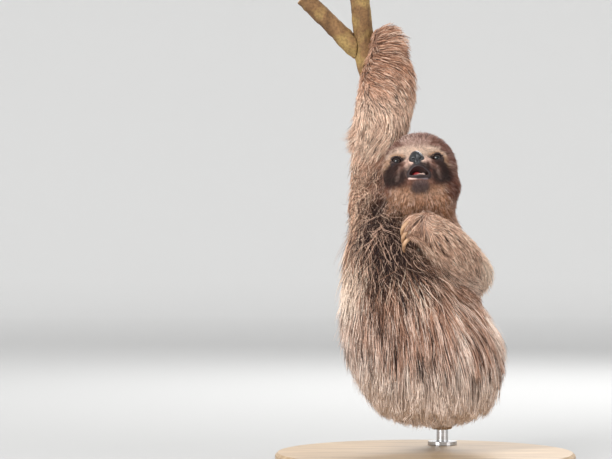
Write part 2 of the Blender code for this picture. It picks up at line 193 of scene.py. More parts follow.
def merged_copy(node):
    """A CAD node's mesh with its doubled vertices joined, as a bmesh in metres."""
    bm = bmesh.new()
    bm.from_mesh(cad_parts[node].data)
    bmesh.ops.remove_doubles(bm, verts=bm.verts, dist=0.00002)
    bmesh.ops.recalc_face_normals(bm, faces=bm.faces)
    return bm


def evaluated(obj):
    """Replaces an object's mesh by what its modifiers make of it."""
    depsgraph = bpy.context.evaluated_depsgraph_get()
    mesh = bpy.data.meshes.new_from_object(obj.evaluated_get(depsgraph))
    obj.modifiers.clear()
    obj.data = mesh


def unit(vectors):
    return vectors / np.maximum(np.linalg.norm(vectors, axis=-1, keepdims=True), 1e-9)


def without(vectors, along, share=1.0):
    """Vectors less a share of their part along some unit vectors."""
    return vectors - along * (vectors * along).sum(axis=-1, keepdims=True) * share


def smoothstep(low, high, value):
    t = np.clip((value - low) / (high - low), 0, 1)
    return t * t * (3 - 2 * t)


def nearness(points, centre, far, close, scale=(1, 1, 1)):
    """Rises from 0 at the distance far from a centre to 1 at the distance close."""
    return smoothstep(far, close, np.linalg.norm((points - np.array(centre)) * scale, axis=1))


def noise_at(points):
    return np.array([noise.noise(Vector(p)) for p in points])


def tri_normals(verts, tris):
    a, b, c = verts[tris[:, 0]], verts[tris[:, 1]], verts[tris[:, 2]]
    return np.cross(b - a, c - a)


def vertex_normals(verts, tris):
    faces = tri_normals(verts, tris)
    normals = np.zeros_like(verts)
    for axis in range(3):
        for corner in range(3):
            normals[:, axis] += np.bincount(tris[:, corner], faces[:, axis], len(verts))
    return unit(normals)


def neighbour_mean(values, tris):
    """Each vertex's mean of its neighbours' values."""
    ends = np.concatenate([tris[:, [0, 1]], tris[:, [1, 2]], tris[:, [2, 0]]])
    first, second = ends.T
    size = len(values)
    count = np.bincount(first, minlength=size) + np.bincount(second, minlength=size)
    total = np.zeros_like(values)
    for axis in range(values.shape[1]):
        total[:, axis] = np.bincount(first, values[second, axis], size)
        total[:, axis] += np.bincount(second, values[first, axis], size)
    return total / np.maximum(count, 1)[:, None]


def blur(values, tris, rounds, share=0.5):
    for _ in range(rounds):
        values = values + (neighbour_mean(values, tris) - values) * share
    return values


# ---------------------------------------------------------------- the head's axes


def node_centre(node):
    low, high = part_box(node)
    return np.array((low + high) / 2) / MM


def head_axes():
    """Origin and the three axes of the head, from the boxes of the eyes and the nose."""
    left, right, nose = node_centre("eye_left"), node_centre("eye_right"), node_centre("nose")
    between = (left + right) / 2
    side = unit(right - left)
    ahead = unit(nose - between)
    above = np.cross(side, ahead)
    forward = ahead * math.cos(NOSE_FALL) + above * math.sin(NOSE_FALL)
    up = np.cross(side, forward)
    origin = between - forward * EYE_FORWARD - up * EYE_RISE
    return origin, np.array([side, forward, up])


HEAD_ORIGIN, HEAD_AXES = head_axes()
EYE_SIDE = float(np.linalg.norm(node_centre("eye_left") - node_centre("eye_right"))) / 2
NOSE_LOCAL = HEAD_AXES @ (node_centre("nose") - HEAD_ORIGIN) + np.array(NOSE_SHIFT)


def to_head(points):
    return (points - HEAD_ORIGIN) @ HEAD_AXES.T


def from_head(points):
    return np.asarray(points) @ HEAD_AXES + HEAD_ORIGIN


def eye_centre(sign):
    """The left eye's for -1 and the right one's for 1."""
    return np.array([sign * EYE_SIDE, EYE_FORWARD, EYE_RISE])


def eye_distance(local):
    """Distance to the nearer eye's centre."""
    side, forward, up = np.abs(local[:, 0]) - EYE_SIDE, local[:, 1] - EYE_FORWARD, local[:, 2] - EYE_RISE
    return np.linalg.norm(np.stack([side, forward, up]), axis=0)


# ---------------------------------------------------------------- distance fields of head and nose


def egg(points, centre, radii):
    """Roughly the distance to an ellipsoid."""
    near = (points - np.array(centre)) / np.array(radii)
    k0 = np.linalg.norm(near, axis=-1)
    k1 = np.linalg.norm(near / np.array(radii), axis=-1)
    return k0 * (k0 - 1) / np.maximum(k1, 1e-9)


def join(a, b, soft):
    t = np.clip(0.5 + 0.5 * (b - a) / soft, 0, 1)
    return b + (a - b) * t - soft * t * (1 - t)


def cut(a, b, soft):
    return -join(-a, b, soft)


def mirrored(points):
    return np.concatenate([np.abs(points[:, :1]), points[:, 1:]], axis=1)


def sculpt(points, forms, field=None):
    """The field of some eggs, each joined to or cut from those before it; a pair is on both sides."""
    both = mirrored(points)
    for way, centre, radii, soft in forms:
        shape = egg(both if "pair" in way else points, centre, radii)
        if field is None:
            field = shape
        else:
            field = (cut if "cut" in way else join)(field, shape, soft)
    return field


# Forms: how each meets those before it, its centre and radii, and how softly it meets them
MOUTH_FORMS = [
    ("start", (0.8, 0, 0.4), (7.2, 17, 4.3), 0),
    ("join", (-4.6, 0, -1.0), (5.6, 16, 3.0), 2),
    ("join", (4.6, 0, -1.0), (5.6, 16, 3.0), 2),
]
FACE = ("join", (-1.5, 15, -9), (30, 20.5, 22), 10)
CHEEKS = ("join pair", (13, 27, -17), (11, 12, 12), 6)
MUZZLE = ("join", (0, 28, -17), (14.5, 17.5, 14.5), 6)
CHIN = ("join", (0, 25, -27), (13.5, 17.5, 8.6), 4)
HEAD_FORMS = [
    ("start", (HEAD_LEAN, -1, 3), (33.5, 33, 32.5), 0),
    FACE,
    CHEEKS,
    MUZZLE,
    ("join", (0, 29, -9), (6.5, 13, 8.5), 5),  # bridge of the nose
    CHIN,
    ("join pair", (15, 27.5, 3), (9.5, 6, 4.5), 5),  # brows
    ("join", (HEAD_LEAN - 1, -2, -20), (34, 24, 20), 8),  # nape and throat
    ("join", (HEAD_LEAN - 32.5, -6, 3), (2.6, 5, 6.5), 2),  # ears
    ("join", (HEAD_LEAN + 32.5, -6, 3), (2.6, 5, 6.5), 2),
    ("cut pair", (EYE_SIDE - 3, EYE_FORWARD + 7.5, EYE_RISE - 1), (7, 4, 4.5), 5),  # hollows of the eyes
    ("cut pair", eye_centre(1), (EYE_RADIUS + 0.3,) * 3, 0.6),
]
GUM_FORMS = [("join", place, (2.3, 1.7, 2.7), 1.2) for place in GUM]
NOSE_FORMS = [
    ("start pair", (3.1, -0.8, -0.6), (4.6, 5.0, 4.4), 0),
    ("join", (0, -2.0, 3.9), (5.2, 4.8, 4.6), 4),
    ("join", (0, 0.8, -5.0), (3.6, 4.6, 4.2), 3),
    ("cut pair", (3.6, 4.0, -1.8), (1.4, 1.5, 1.1), 0.8),  # nostrils
    ("cut", (0, 5.2, -3.0), (0.45, 1.4, 4.0), 0.9),  # groove
]
TONGUE_CENTRE = (2.0, 29, -24.4)
TONGUE_FORMS = [
    ("start", (2.0, 29, -24.2), (5.6, 6.5, 4.1), 0),
    ("cut", (2.0, 30, -20.0), (0.7, 6, 1.0), 1.0),
]


def mouth_field(points):
    """The mouth's hole: arched above and flatter below, with one corner a little higher."""
    near = points - np.array(MOUTH_CENTRE)
    near[:, 2] -= MOUTH_LEAN * near[:, 0]
    return sculpt(near, MOUTH_FORMS)


def head_field(points):
    """The bare head: skull, face, snout, jaw, brows, eye hollows, mouth and gum."""
    field = cut(sculpt(points, HEAD_FORMS), mouth_field(points), 1.0)
    return sculpt(points, GUM_FORMS, field)


def quads(low, high, turns):
    """Faces between two rings of vertices, which start at the numbers low and high."""
    ends = [(j, (j + 1) % turns) for j in range(turns)]
    return [(low + j, low + k, high + k, high + j) for j, k in ends]


def star_surface(field, centre, thetas, turns, reach):
    """The surface of a field round a centre: rings about the forward axis, closed at both poles."""
    phi = np.linspace(0, 2 * np.pi, turns, endpoint=False)
    theta = np.concatenate([[0], np.repeat(thetas, turns), [np.pi]])
    turn = np.concatenate([[0], np.tile(phi, len(thetas)), [0]])
    out = np.sin(theta)
    rays = np.stack([out * np.cos(turn), np.cos(theta), out * np.sin(turn)], axis=1)
    distance = np.full(len(rays), float(reach))
    for _ in range(FIELD_STEPS):
        step = field(centre + rays * distance[:, None])
        distance = np.maximum(distance - step * FIELD_STRIDE, 1.0)
    last = 1 + len(thetas) * turns
    base = last - turns
    faces = []
    for j in range(turns):
        k = (j + 1) % turns
        faces += [(0, 1 + k, 1 + j), (last, base + j, base + k)]
    for low in range(1, base, turns):
        faces += quads(low, low + turns, turns)
    return centre + rays * distance[:, None], faces


def egg_surface(centre, radii, degrees, turns, reach):
    """An ellipsoid with a ring every few degrees."""
    thetas = np.radians(np.arange(degrees, 180, degrees))
    return star_surface(lambda p: egg(p, centre, radii), np.array(centre, float), thetas, turns, reach)


def ring_tube(rings):
    """A closed tube: rings is an array (stations, section points, 3)."""
    stations, section = rings.shape[:2]
    faces = []
    for i in range(stations):
        faces += quads(i * section, (i + 1) % stations * section, section)
    return rings.reshape(-1, 3), faces


def lid_ring(sign):
    """Both lids of one eye, as one closed ring round the opening between them."""
    centre = eye_centre(sign)
    out = unit(np.array([sign * 0.04, 0.99, -0.08]))
    across = unit(np.cross(out, (0, 0, 1)) * -sign)
    above = unit(np.cross(across, out) * sign)
    above = above if above[2] > 0 else -above
    rings = []
    for angle in np.linspace(0, 2 * np.pi, LID_STATIONS, endpoint=False):
        wide = LID_HALF_WIDTH * math.cos(angle)
        high = LID_HALF_HEIGHT * math.sin(angle) * (1.0 if math.sin(angle) > 0 else 0.85)
        high *= 1 - 0.25 * abs(math.cos(angle)) ** 3
        u = wide * math.cos(LID_TILT) - high * math.sin(LID_TILT)
        v = wide * math.sin(LID_TILT) + high * math.cos(LID_TILT)
        ring = []
        for share, lift in LID_SECTION:
            spread = share if share < 1.1 else 1 + (share - 1) * (1.0 if abs(v) > 2 else 0.75)
            flat = math.hypot(u, v) * spread
            dome = math.sqrt(max((EYE_RADIUS + lift) ** 2 - flat**2, 0.0))
            level = max(dome, 2.4 + lift - 0.12 * flat)
            ring.append(centre + across * u * spread + above * v * spread + out * level)
        rings.append(ring)
    return ring_tube(np.array(rings))


def mouth_outline(count):
    """Points round the open mouth on the snout's surface, found by walking along both fields."""
    angles = np.linspace(0, 2 * np.pi, count, endpoint=False)
    rays = np.stack([np.cos(angles), np.zeros(count), np.sin(angles)], axis=1)
    reach, forward = np.full(count, 3.0), np.full(count, 60.0)
    for step in range(OUTLINE_STEPS):
        points = np.array(MOUTH_CENTRE) + rays * reach[:, None]
        points[:, 1] = forward
        forward = forward - sculpt(points, [FACE, CHEEKS, MUZZLE, CHIN]) * OUTLINE_STRIDE
        if step > OUTLINE_STEPS / 3:
            reach = reach - mouth_field(points) * OUTLINE_STRIDE
    return points


def lip_ring():
    """The lips, one closed ring round the mouth."""
    line = mouth_outline(LIP_STATIONS)
    line = (line + np.roll(line, 1, axis=0) + np.roll(line, -1, axis=0)) / 3
    middle = line.mean(axis=0)
    rings = []
    for i, point in enumerate(line):
        along = unit(line[(i + 1) % len(line)] - line[i - 1])
        outward = point - middle
        outward = unit(outward - along * outward.dot(along))
        ahead = unit(np.cross(along, outward))
        ahead = ahead if ahead[1] > 0 else -ahead
        thick = 0.72 - 0.3 * outward[2]
        ring = []
        for turn in np.linspace(0, 2 * np.pi, 8, endpoint=False):
            wide = outward * math.cos(turn) * thick * 1.25
            ring.append(point + wide + ahead * math.sin(turn) * thick)
        rings.append(ring)
    return ring_tube(np.array(rings))


# ---------------------------------------------------------------- the skin


def cores():
    """Plain eggs inside the head, which close the neck behind and below it."""
    made = [egg_surface(centre, radii, 8, 40, 45) for centre, radii in CORES]
    return [(from_head(verts), faces) for verts, faces in made]


def union_mesh(nodes):
    """The joined shape of some nodes and the cores as one object."""
    bm = bmesh.new()
    for verts, faces in cores():
        corners = [bm.verts.new(place * MM) for place in verts]
        for face in faces:
            bm.faces.new([corners[i] for i in face])
    for node in nodes:
        piece = merged_copy(node)
        piece.normal_update()
        for v in piece.verts:
            v.co += v.normal * GROWTH * MM
        mesh = bpy.data.meshes.new("part")
        piece.to_mesh(mesh)
        piece.free()
        bm.from_mesh(mesh)
        bpy.data.meshes.remove(mesh)
    obj = bmesh_object("flesh", bm)
    remesh(obj, VOXEL)
    return obj


def islands(bm):
    """The vertices of each connected part, the largest part last."""
    found = []
    unseen = set(bm.verts)
    while unseen:
        front = [unseen.pop()]
        island = list(front)
        while front:
            here = front.pop()
            around = {e.other_vert(here) for e in here.link_edges} & unseen
            unseen -= around
            front += around
            island += around
        found.append(island)
    return sorted(found, key=len)


def remesh(obj, voxel):
    """Makes an object one even, closed surface and drops what is shut inside it."""
    modifier = obj.modifiers.new("remesh", "REMESH")
    modifier.mode = "VOXEL"
    modifier.voxel_size = voxel * MM
    evaluated(obj)
    bm = bmesh.new()
    bm.from_mesh(obj.data)
    for island in islands(bm)[:-1]:
        bmesh.ops.delete(bm, geom=island, context="VERTS")
    bm.to_mesh(obj.data)
    bm.free()


def tree_of(points):
    tree = KDTree(len(points))
    for index, point in enumerate(points):
        tree.insert(point, index)
    tree.balance()
    return tree


def surface_samples(nodes):
    """Points spread over some nodes, and the number of the node that each is on."""
    points = []
    for node in nodes:
        verts, tris = arrays(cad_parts[node].data)
        area = np.linalg.norm(tri_normals(verts, tris), axis=1)
        picks = rng.choice(len(tris), SAMPLES, p=area / area.sum())
        mix = rng.dirichlet((1, 1, 1), SAMPLES)
        points.append((verts[tris[picks]] * mix[:, :, None]).sum(axis=1))
    return np.concatenate(points), np.repeat(np.arange(len(nodes)), SAMPLES)


def nearest_owner(points, samples, owners):
    tree = tree_of(samples)
    return np.array([owners[tree.find(p)[1]] for p in points])


def inset_body():
    """Trunk, neck and limbs without their coat."""
    obj = union_mesh(BODY_NODES)
    verts, tris = arrays(obj.data)
    samples, owners = surface_samples(BODY_NODES)
    for core_verts, _ in cores():
        samples = np.concatenate([samples, core_verts])
        owners = np.concatenate([owners, np.full(len(core_verts), len(BODY_NODES))])
    depths = np.array([*(COAT[n][DEPTH] for n in BODY_NODES), CORE_DEPTH], float)
    depth = depths[nearest_owner(verts, samples, owners)]
    depth = blur(depth[:, None], tris, 14)[:, 0] + GROWTH
    for _ in range(INSET_STEPS):
        normals = unit(blur(vertex_normals(verts, tris), tris, 3))
        verts = verts - normals * (depth / INSET_STEPS)[:, None]
        verts = blur(verts, tris, 1, 0.35)
    place_vertices(obj.data, verts)
    remesh(obj, VOXEL)
    verts, tris = arrays(obj.data)
    place_vertices(obj.data, blur(verts, tris, 2))
    obj.data.update()
    return obj


def bare_head():
    """The head's skin, with closer rings over the face than behind it."""
    front = np.radians(80) * np.linspace(0, 1, 131)[1:]
    back = np.radians(np.linspace(80, 180, 42))[1:-1]
    thetas = np.concatenate([front, back])
    return star_surface(head_field, np.array([0, 8.0, -12.0]), thetas, 200, 62)


def make_skin():
    """One skin: body, head, lids and lips joined."""
    skin = inset_body()
    skin.name = "skin"
    for verts, faces in (bare_head(), lid_ring(-1), lid_ring(1), lip_ring()):
        part = mesh_object("part", from_head(verts), faces)
        bm = bmesh.new()
        bm.from_mesh(part.data)
        bmesh.ops.recalc_face_normals(bm, faces=bm.faces)
        bm.to_mesh(part.data)
        bm.free()
        union = skin.modifiers.new("join", "BOOLEAN")
        union.operation = "UNION"
        union.solver = "EXACT"
        union.object = part
        evaluated(skin)
        bpy.data.objects.remove(part, do_unlink=True)
    skin.data.name = "skin"
    skin.data.shade_smooth()
    return skin


# ---------------------------------------------------------------- colours and markings


def shade(red, green, blue):
    """A colour of the 0 to 255 scale as linear light."""
    parts = np.array([red, green, blue]) / 255
    return np.where(parts < 0.04045, parts / 12.92, ((parts + 0.055) / 1.055) ** 2.4)


ROOT_BROWN = shade(62, 42, 34)
DARK_HAIR = shade(62, 39, 31)
MID_HAIR = shade(199, 153, 128)
PALE_HAIR = shade(250, 230, 216)
CURL_HAIR = shade(250, 214, 194)
CROWN = shade(141, 96, 80)
CREAM = shade(236, 210, 190)
SNOUT = shade(224, 186, 170)
RUST = shade(212, 160, 116)
THROAT = shade(222, 168, 130)
STRIPE = shade(56, 33, 29)
UMBER = shade(104, 48, 35)
PEPPER = shade(216, 184, 170)
CHEEK_GREY = shade(60, 44, 42)
CHIN_GREY = shade(98, 84, 86)
# Painted shade inside the open mouth
MOUTH_SHADE = shade(50, 26, 22)
MOUTH_RED = shade(240, 84, 74)
GUM_PINK = shade(240, 206, 192)
LIP_DARK = shade(44, 30, 30)
LIP_PINK = shade(226, 192, 180)
LIP_GREY = shade(140, 126, 132)


def hair_colour(tone):
    """From dark over mid to pale, for tones from 0 to 1."""
    tone = np.clip(tone, 0, 1)[:, None]
    low = DARK_HAIR + (MID_HAIR - DARK_HAIR) * np.minimum(tone * 2, 1)
    return low + (PALE_HAIR - MID_HAIR) * np.maximum(tone * 2 - 1, 0)


def face_plane(local):
    """Places on the face as seen from the front: out to its left, and up."""
    return np.stack([-local[:, 0], 0.5 * local[:, 1] + 0.866 * local[:, 2]], axis=1)


def stroke(flat, line, widths, edge):
    """How much of a stroke along a line of places, with a half width at each, covers each point."""
    best = np.zeros(len(flat))
    for (a, b), (wa, wb) in zip(zip(line, line[1:]), zip(widths, widths[1:])):
        a, b = np.array(a, float), np.array(b, float)
        share = np.clip(((flat - a) @ (b - a)) / ((b - a) @ (b - a)), 0, 1)
        away = np.linalg.norm(flat - a - share[:, None] * (b - a), axis=1)
        half = wa + (wb - wa) * share
        best = np.maximum(best, 1 - smoothstep(half - edge, half + edge, away))
    return best


def paint(base, colour, mask):
    return base + (colour - base) * mask[:, None]


def face_colour(local):
    """The head's markings: crown, cream brow, dark eye stripes and cheeks, grey chin, tan throat."""
    flat = face_plane(local)
    out, up = np.abs(flat[:, 0]), flat[:, 1]
    both = np.stack([out, up], axis=1)
    colour = np.tile(CROWN, (len(local), 1))
    colour = paint(colour, THROAT, smoothstep(-10, -20, up) * smoothstep(36, 24, out))
    arch = 23.5 - 0.01 * out**2 - 0.35 * np.maximum(out - 22, 0)
    brow = smoothstep(arch + 2.5, arch - 1.5, up) * smoothstep(30.5, 27.5, out)
    lowest = np.where(out < 12, 0.0, np.where(out < 25, 9.0, 1.0))
    front = smoothstep(4, 16, local[:, 1])
    colour = paint(colour, CREAM, brow * smoothstep(lowest - 1.5, lowest + 2.5, up) * front)
    # Each mark's colour, on both sides or as it is, its line, half widths, soft edge and strength
    marks = [
        (SNOUT, both, [(8, 8), (9, -2)], [4.5, 4.5], 2.5, 0.8),
        (RUST, both, [(13, 14), (21, 14.5), (27.5, 8), (29, 0)], [2, 2.5, 2.5, 2], 1.6, 0.7),
        (UMBER, both, [(29, -6), (31, -22)], [5.5, 5.5], 4, 0.75),
        (STRIPE, both, [(12, 11.5), (19, 8.5), (25.5, 0), (28.5, -10)], [1.4, 4.6, 4.4, 3.6], 2.2, 1),
        (CHEEK_GREY, both, [(13.5, -1), (17, -6), (23, -9)], [3.4, 6.0, 5.5], 3.5, 0.95),
        (SNOUT, both, [(17.5, 3), (20, -8)], [0.8, 0.9], 1.2, 0.3),
        (CREAM, both, [(5, -25), (20, -21)], [4, 4], 4, 0.3),
        (UMBER, flat, [(9.5, 5), (10, -2)], [2.2, 3.0], 1.5, 0.8),
        (PEPPER, flat, [(-8, 27), (9, 26)], [4.5, 4.5], 4, 0.6),
        (UMBER, both, [(27, 22), (33, 10)], [3, 4], 4, 0.6),
        (CHIN_GREY, flat, [(-2, -16), (4, -16)], [5.5, 5.5], 2.5, 0.9),
        (LIP_DARK, flat, [(-6, 2), (0, 4.5), (8, 2)], [3.5, 4.5, 4], 2, 0.9),
        (LIP_DARK, flat, [(-1, 9), (0, 4)], [3.5, 5], 1.5, 1),
    ]
    ahead = smoothstep(-10, 4, local[:, 1])
    for mark, view, line, widths, edge, strength in marks:
        colour = paint(colour, mark, stroke(view, line, widths, edge) * strength * ahead)
    return colour


def bare_colour(local, colour):
    """The bare parts of the head's skin: lids, lips and the mouth's lining, painted near black as shade
    outside a red stripe of palate.
    """
    flat, mouth = face_plane(local), mouth_field(local)
    rim = smoothstep(2.6, 1.8, mouth) * smoothstep(20, 30, local[:, 1])
    colour = paint(colour, LIP_DARK, smoothstep(8.0, 6.9, eye_distance(local)))
    colour = paint(colour, LIP_DARK, nearness(local, NOSE_LOCAL, 5.6, 5.0))
    colour = paint(colour, LIP_DARK, rim)
    colour = paint(colour, LIP_PINK, stroke(flat, [(-9.5, -8.4), (-3.5, -9.6)], [1.5, 1.5], 0.6) * rim)
    colour = paint(colour, LIP_GREY, stroke(flat, [(-1.5, -10), (7, -10)], [1.5, 1.4], 0.7) * rim)
    palate = smoothstep(6.2, 2.2, np.abs(local[:, 0] - 2.4))
    # Painted shade: the lining is near black except for the palate's red stripe deeper in
    lining = paint(MOUTH_SHADE, MOUTH_RED, palate * smoothstep(-0.8, -2.4, mouth))
    gum = np.min([np.linalg.norm(local - np.array(place), axis=1) for place in GUM], axis=0)
    lining = paint(lining, GUM_PINK, smoothstep(4.0, 3.2, gum) * smoothstep(-27.4, -26.0, local[:, 2]))
    return paint(colour, lining, smoothstep(-0.3, -1.0, mouth))


# ---------------------------------------------------------------- the lie of the coat

# Guides for each coat: place, direction in which the hair lies, lightness, waviness
BODY_GUIDES = [
    # The rows round the fold below the raised arm, with lightness below 0, paint its shade into the coat
    (-53, -45, 255, -0.45, 0, -0.85, 0.0, 1.0),
    (-40, -45, 246, -0.2, -0.2, -0.7, -0.4, 1.0),
    (-73, -28, 240, -0.1, 0, -1, 0.8, 0.8),
    (-72, -30, 218, -0.1, 0, -1, 0.8, 0.6),
    (-50, -48, 234, 0.3, -0.2, -0.7, -0.5, 1.0),
    (-38, -52, 234, 0.5, -0.2, -0.6, -0.55, 1.0),
    (-28, -55, 236, 0.3, -0.2, -0.6, -0.3, 1.0),
    (-20, -57, 218, 0.35, 0, -0.8, 0.1, 0.9),
    (-54, -48, 218, 0.25, 0, -0.85, -0.3, 1.0),
    (-42, -52, 218, 0.45, 0, -0.75, -0.65, 1.0),
    (-31, -56, 214, 0.3, 0, -0.8, -0.4, 0.9),
    (-50, -52, 202, 0.3, 0, -0.8, -0.2, 0.9),
    (-39, -56, 202, 0.4, 0, -0.8, -0.4, 0.8),
    (-43, -57, 188, 0.15, 0, -0.9, 0.1, 0.5),
    (-20, -60, 198, 0.15, 0, -1, 0.4, 0.3),
    (-8, -60, 182, 0.15, 0, -1, 0.55, 0.2),
    (8, -60, 190, 0.5, 0, -0.85, 0.2, 0.15),
    (38, -50, 180, 0.6, 0, -0.8, 0.34, 0.1),
    (50, -45, 155, 0.45, 0, -0.9, 0.36, 0.1),
    (82, -14, 138, 0.25, 0, -0.95, 0.88, 0.1),
    (80, -14, 158, 0.3, 0, -0.95, 0.84, 0.1),
    (80, -14, 120, 0.15, 0, -1, 0.84, 0.15),
    (74, -15, 106, 0, 0, -1, 0.42, 0.2),
    (66, -25, 85, -0.35, 0, -0.9, 0.95, 0.5),
    (17, -68, 126, 0.22, 0, -0.97, 0.72, 0.1),
    (40, -60, 115, 0.3, 0, -0.95, 0.55, 0.1),
    (22, -66, 88, 0.08, 0, -1, 0.75, 0.15),
    (-3, -68, 150, 0.08, 0, -1, 0.34, 0.1),
    (-24, -66, 160, 0.12, 0, -1, 0.72, 0.12),
    (-6, -66, 86, 0.02, 0, -1, 0.85, 0.12),
    (-28, -62, 120, 0.08, 0, -1, 0.42, 0.1),
    (-60, -48, 205, 0.05, 0, -1, 0.7, 0.5),
    (-45, -50, 105, -0.1, 0, -1, 0.7, 0.2),
    (-53, -50, 150, 0.12, 0, -1, 0.26, 0.1),
    (-70, -30, 170, 0.03, 0, -1, 1.4, 0.05),
    (-76, -22, 186, 0.03, 0, -1, 1.2, 0.1),
    (-66, -36, 135, 0, 0, -1, 0.8, 0.1),
    (-80, -10, 142, -0.05, 0, -1, 0.55, 0.2),
    (-68, -30, 112, -0.35, 0, -0.95, 0.95, 0.5),
    # The rump's fringe is pale, and its lightness above 1 is also painted light on the underside, which
    # the lamps leave in shade
    (-50, -40, 84, -0.5, 0, -0.85, 1.2, 0.6),
    (-28, -40, 62, -0.3, -0.1, -0.95, 1.7, 0.6),
    (0, -42, 52, 0, -0.1, -1, 1.7, 0.6),
    (38, -40, 60, 0.25, -0.1, -0.95, 1.7, 0.6),
    (-15, -55, 68, -0.1, -0.1, -0.95, 1.45, 0.5),
    (20, -55, 68, 0.1, -0.1, -0.95, 1.45, 0.5),
    (-62, 48, 200, 0, -0.2, -1, 0.5, 0.3),
    (50, 40, 200, 0, -0.2, -1, 0.5, 0.3),
    (0, 60, 150, 0, 0, -1, 0.5, 0.3),
    (-80, 40, 110, -0.2, -0.3, -1, 0.5, 0.3),
    (80, 40, 110, 0.2, -0.3, -1, 0.5, 0.3),
    (0, 40, 60, 0, -0.5, -0.8, 0.8, 0.3),
]
LEFT_ARM_GUIDES = [
    (-45, 5, 443, 0.7, 0, 0.2, 0.38, 0.1),
    (-32, 0, 418, 0.9, 0, -0.15, 0.42, 0.1),
    (-18, 5, 412, 0.45, 0, -0.9, 0.42, 0.1),
    (-57, -5, 408, 0.7, -0.4, -0.3, 0.42, 0.1),
    (-66, 12, 408, 0.1, -0.8, -0.5, 0.5, 0.1),
    (-45, 35, 420, -0.6, 0, -0.7, 0.45, 0.2),
    (-16, 20, 400, 0.1, 0.5, -0.8, 0.45, 0.2),
    (-40, -15, 385, 0.6, 0, -0.75, 0.56, 0.4),
    (-53, -12, 388, 0.75, 0, -0.4, 0.48, 0.45),
    (-70, 14, 378, 0.1, -0.6, -0.75, 0.55, 0.3),
    (-14, 0, 380, 0.2, 0, -0.97, 0.55, 0.2),
    (-45, 36, 380, -0.3, 0, -0.9, 0.45, 0.3),
    (-57, -15, 360, 0.5, 0, -0.85, 0.8, 0.4),
    (-25, -18, 363, 0.3, 0, -0.95, 0.74, 0.35),
    (-72, 0, 347, -0.75, -0.1, -0.45, 0.72, 0.5),
    (-40, -28, 340, -0.5, 0, -0.8, 0.8, 0.3),
    (-57, -28, 318, -0.45, 0, -0.9, 0.92, 0.6),
    (-76, 14, 315, -0.1, 0.3, -0.9, 0.6, 0.4),
    (-50, 38, 315, 0, 0, -1, 0.45, 0.4),
    (-70, -15, 305, -0.2, 0, -0.95, 0.65, 0.9),
    (-55, -30, 290, -0.75, 0, -0.55, 0.36, 1.0),
    (-61, -28, 272, -0.7, 0, -0.6, 0.3, 1.0),
    (-70, -20, 270, -0.2, 0, -0.9, 0.75, 0.9),
    # These rows' low lightness carries the fold's painted shade up under the raised arm
    (-45, -34, 256, 0.4, 0, -0.75, -0.2, 1.0),
    (-48, -34, 270, -0.5, 0, -0.7, -0.1, 1.0),
    (-67, -20, 250, -0.15, 0, -0.95, 0.35, 1.0),
    (-35, -30, 262, 0.1, -0.1, -0.8, 0.12, 1.0),
]
RIGHT_ARM_GUIDES = [
    (-14, -80, 252, -0.8, -0.1, -0.6, 0.59, 0.1),
    (-12, -82, 243, -0.8, -0.1, -0.6, 0.59, 0.1),
    (-10, -80, 234, -0.65, -0.1, -0.75, 0.59, 0.1),
    (-9, -77, 225, -0.4, 0, -0.9, 0.59, 0.1),
    (0, -84, 246, 0.85, 0, 0.15, 0.64, 0.1),
    (-2, -85, 230, 0.9, 0, -0.35, 0.64, 0.15),
    (13, -75, 217, 0.6, 0, -0.75, 0.64, 0.15),
    (30, -62, 206, 0.5, 0, -0.85, 0.68, 0.2),
    (30, -55, 232, 0.7, 0, -0.6, 0.69, 0.2),
    (47, -40, 215, 0.5, 0, -0.85, 0.69, 0.25),
    (57, -30, 195, 0.25, 0, -0.95, 1.0, 0.35),
    (61, -20, 183, 0.1, 0, -1, 1.1, 0.4),
    (44, -38, 182, 0.8, 0, -0.4, 0.64, 0.3),
    (35, 15, 220, 0.6, 0.1, -0.8, 0.59, 0.3),
]
LEG_GUIDES = [
    (-60, 0, 130, -0.1, -0.2, -1, 0.5, 0.3),
    (-85, 30, 150, -0.2, -0.2, -1, 0.5, 0.4),
    (-50, 70, 155, -0.3, -0.5, -0.8, 0.48, 0.3),
    (-30, 95, 152, -0.6, -0.5, -0.5, 0.45, 0.1),
    (60, 0, 100, 0.1, -0.2, -1, 0.5, 0.3),
    (80, 40, 108, 0.2, -0.2, -1, 0.5, 0.4),
    (48, 72, 108, 0.3, -0.5, -0.8, 0.48, 0.3),
    (36, 98, 102, 0.6, -0.5, -0.5, 0.45, 0.1),
]

# Coats: the nodes that each covers, its guides, the rings in each tuft and how far tips gather in locks
LEGS = [n for n in BODY_NODES if n.startswith(("thigh", "shin", "foot"))]
COATS = {
    "body": (("trunk", "tail"), BODY_GUIDES, 5, 0.62),
    "arm_left": (("upper_arm_left", "forearm_left", "hand_left"), LEFT_ARM_GUIDES, 4, 0.45),
    "arm_right": (("upper_arm_right", "forearm_right", "hand_right"), RIGHT_ARM_GUIDES, 3, 0.35),
    "legs": (LEGS, LEG_GUIDES, 3, 0.45),
    "head": ((*HEAD_NODES, "neck"), None, 3, 0.25),
}
MOST_TRIANGLES = 190000  # of one coat piece
STEM_GAP = 1.5  # no tuft roots closer to the stem
SEEN_AT = 0.6  # how far along a tuft lies the skin whose markings it shows
CURLY = 0.55  # tufts above this waviness get more rings
CURLY_RINGS = 6
CURLY_LOCKS = 0.25
FEWEST_CURLY = 0.05  # a smaller share of a coat gets no piece of its own
LOCK_SIZE = 9  # tufts
LOCK_REACH = (14, 4)  # tufts further than the first from their lock's middle stay free
STRAYS = 0.08  # share of tufts that stand out
# Each tuft's share of its place's length, width and depth, and its stiffness, at least and at most
LENGTHS, WIDTHS, HEIGHTS, STIFFNESS = (0.7, 1.2), (0.65, 1.2), (0.3, 1.15), (0.1, 0.45)
STRAY_WIDTH, STRAY_HEIGHT, STRAY_TURN, STRAY_LIFT = 0.6, 1.35, 2.0, 0.3
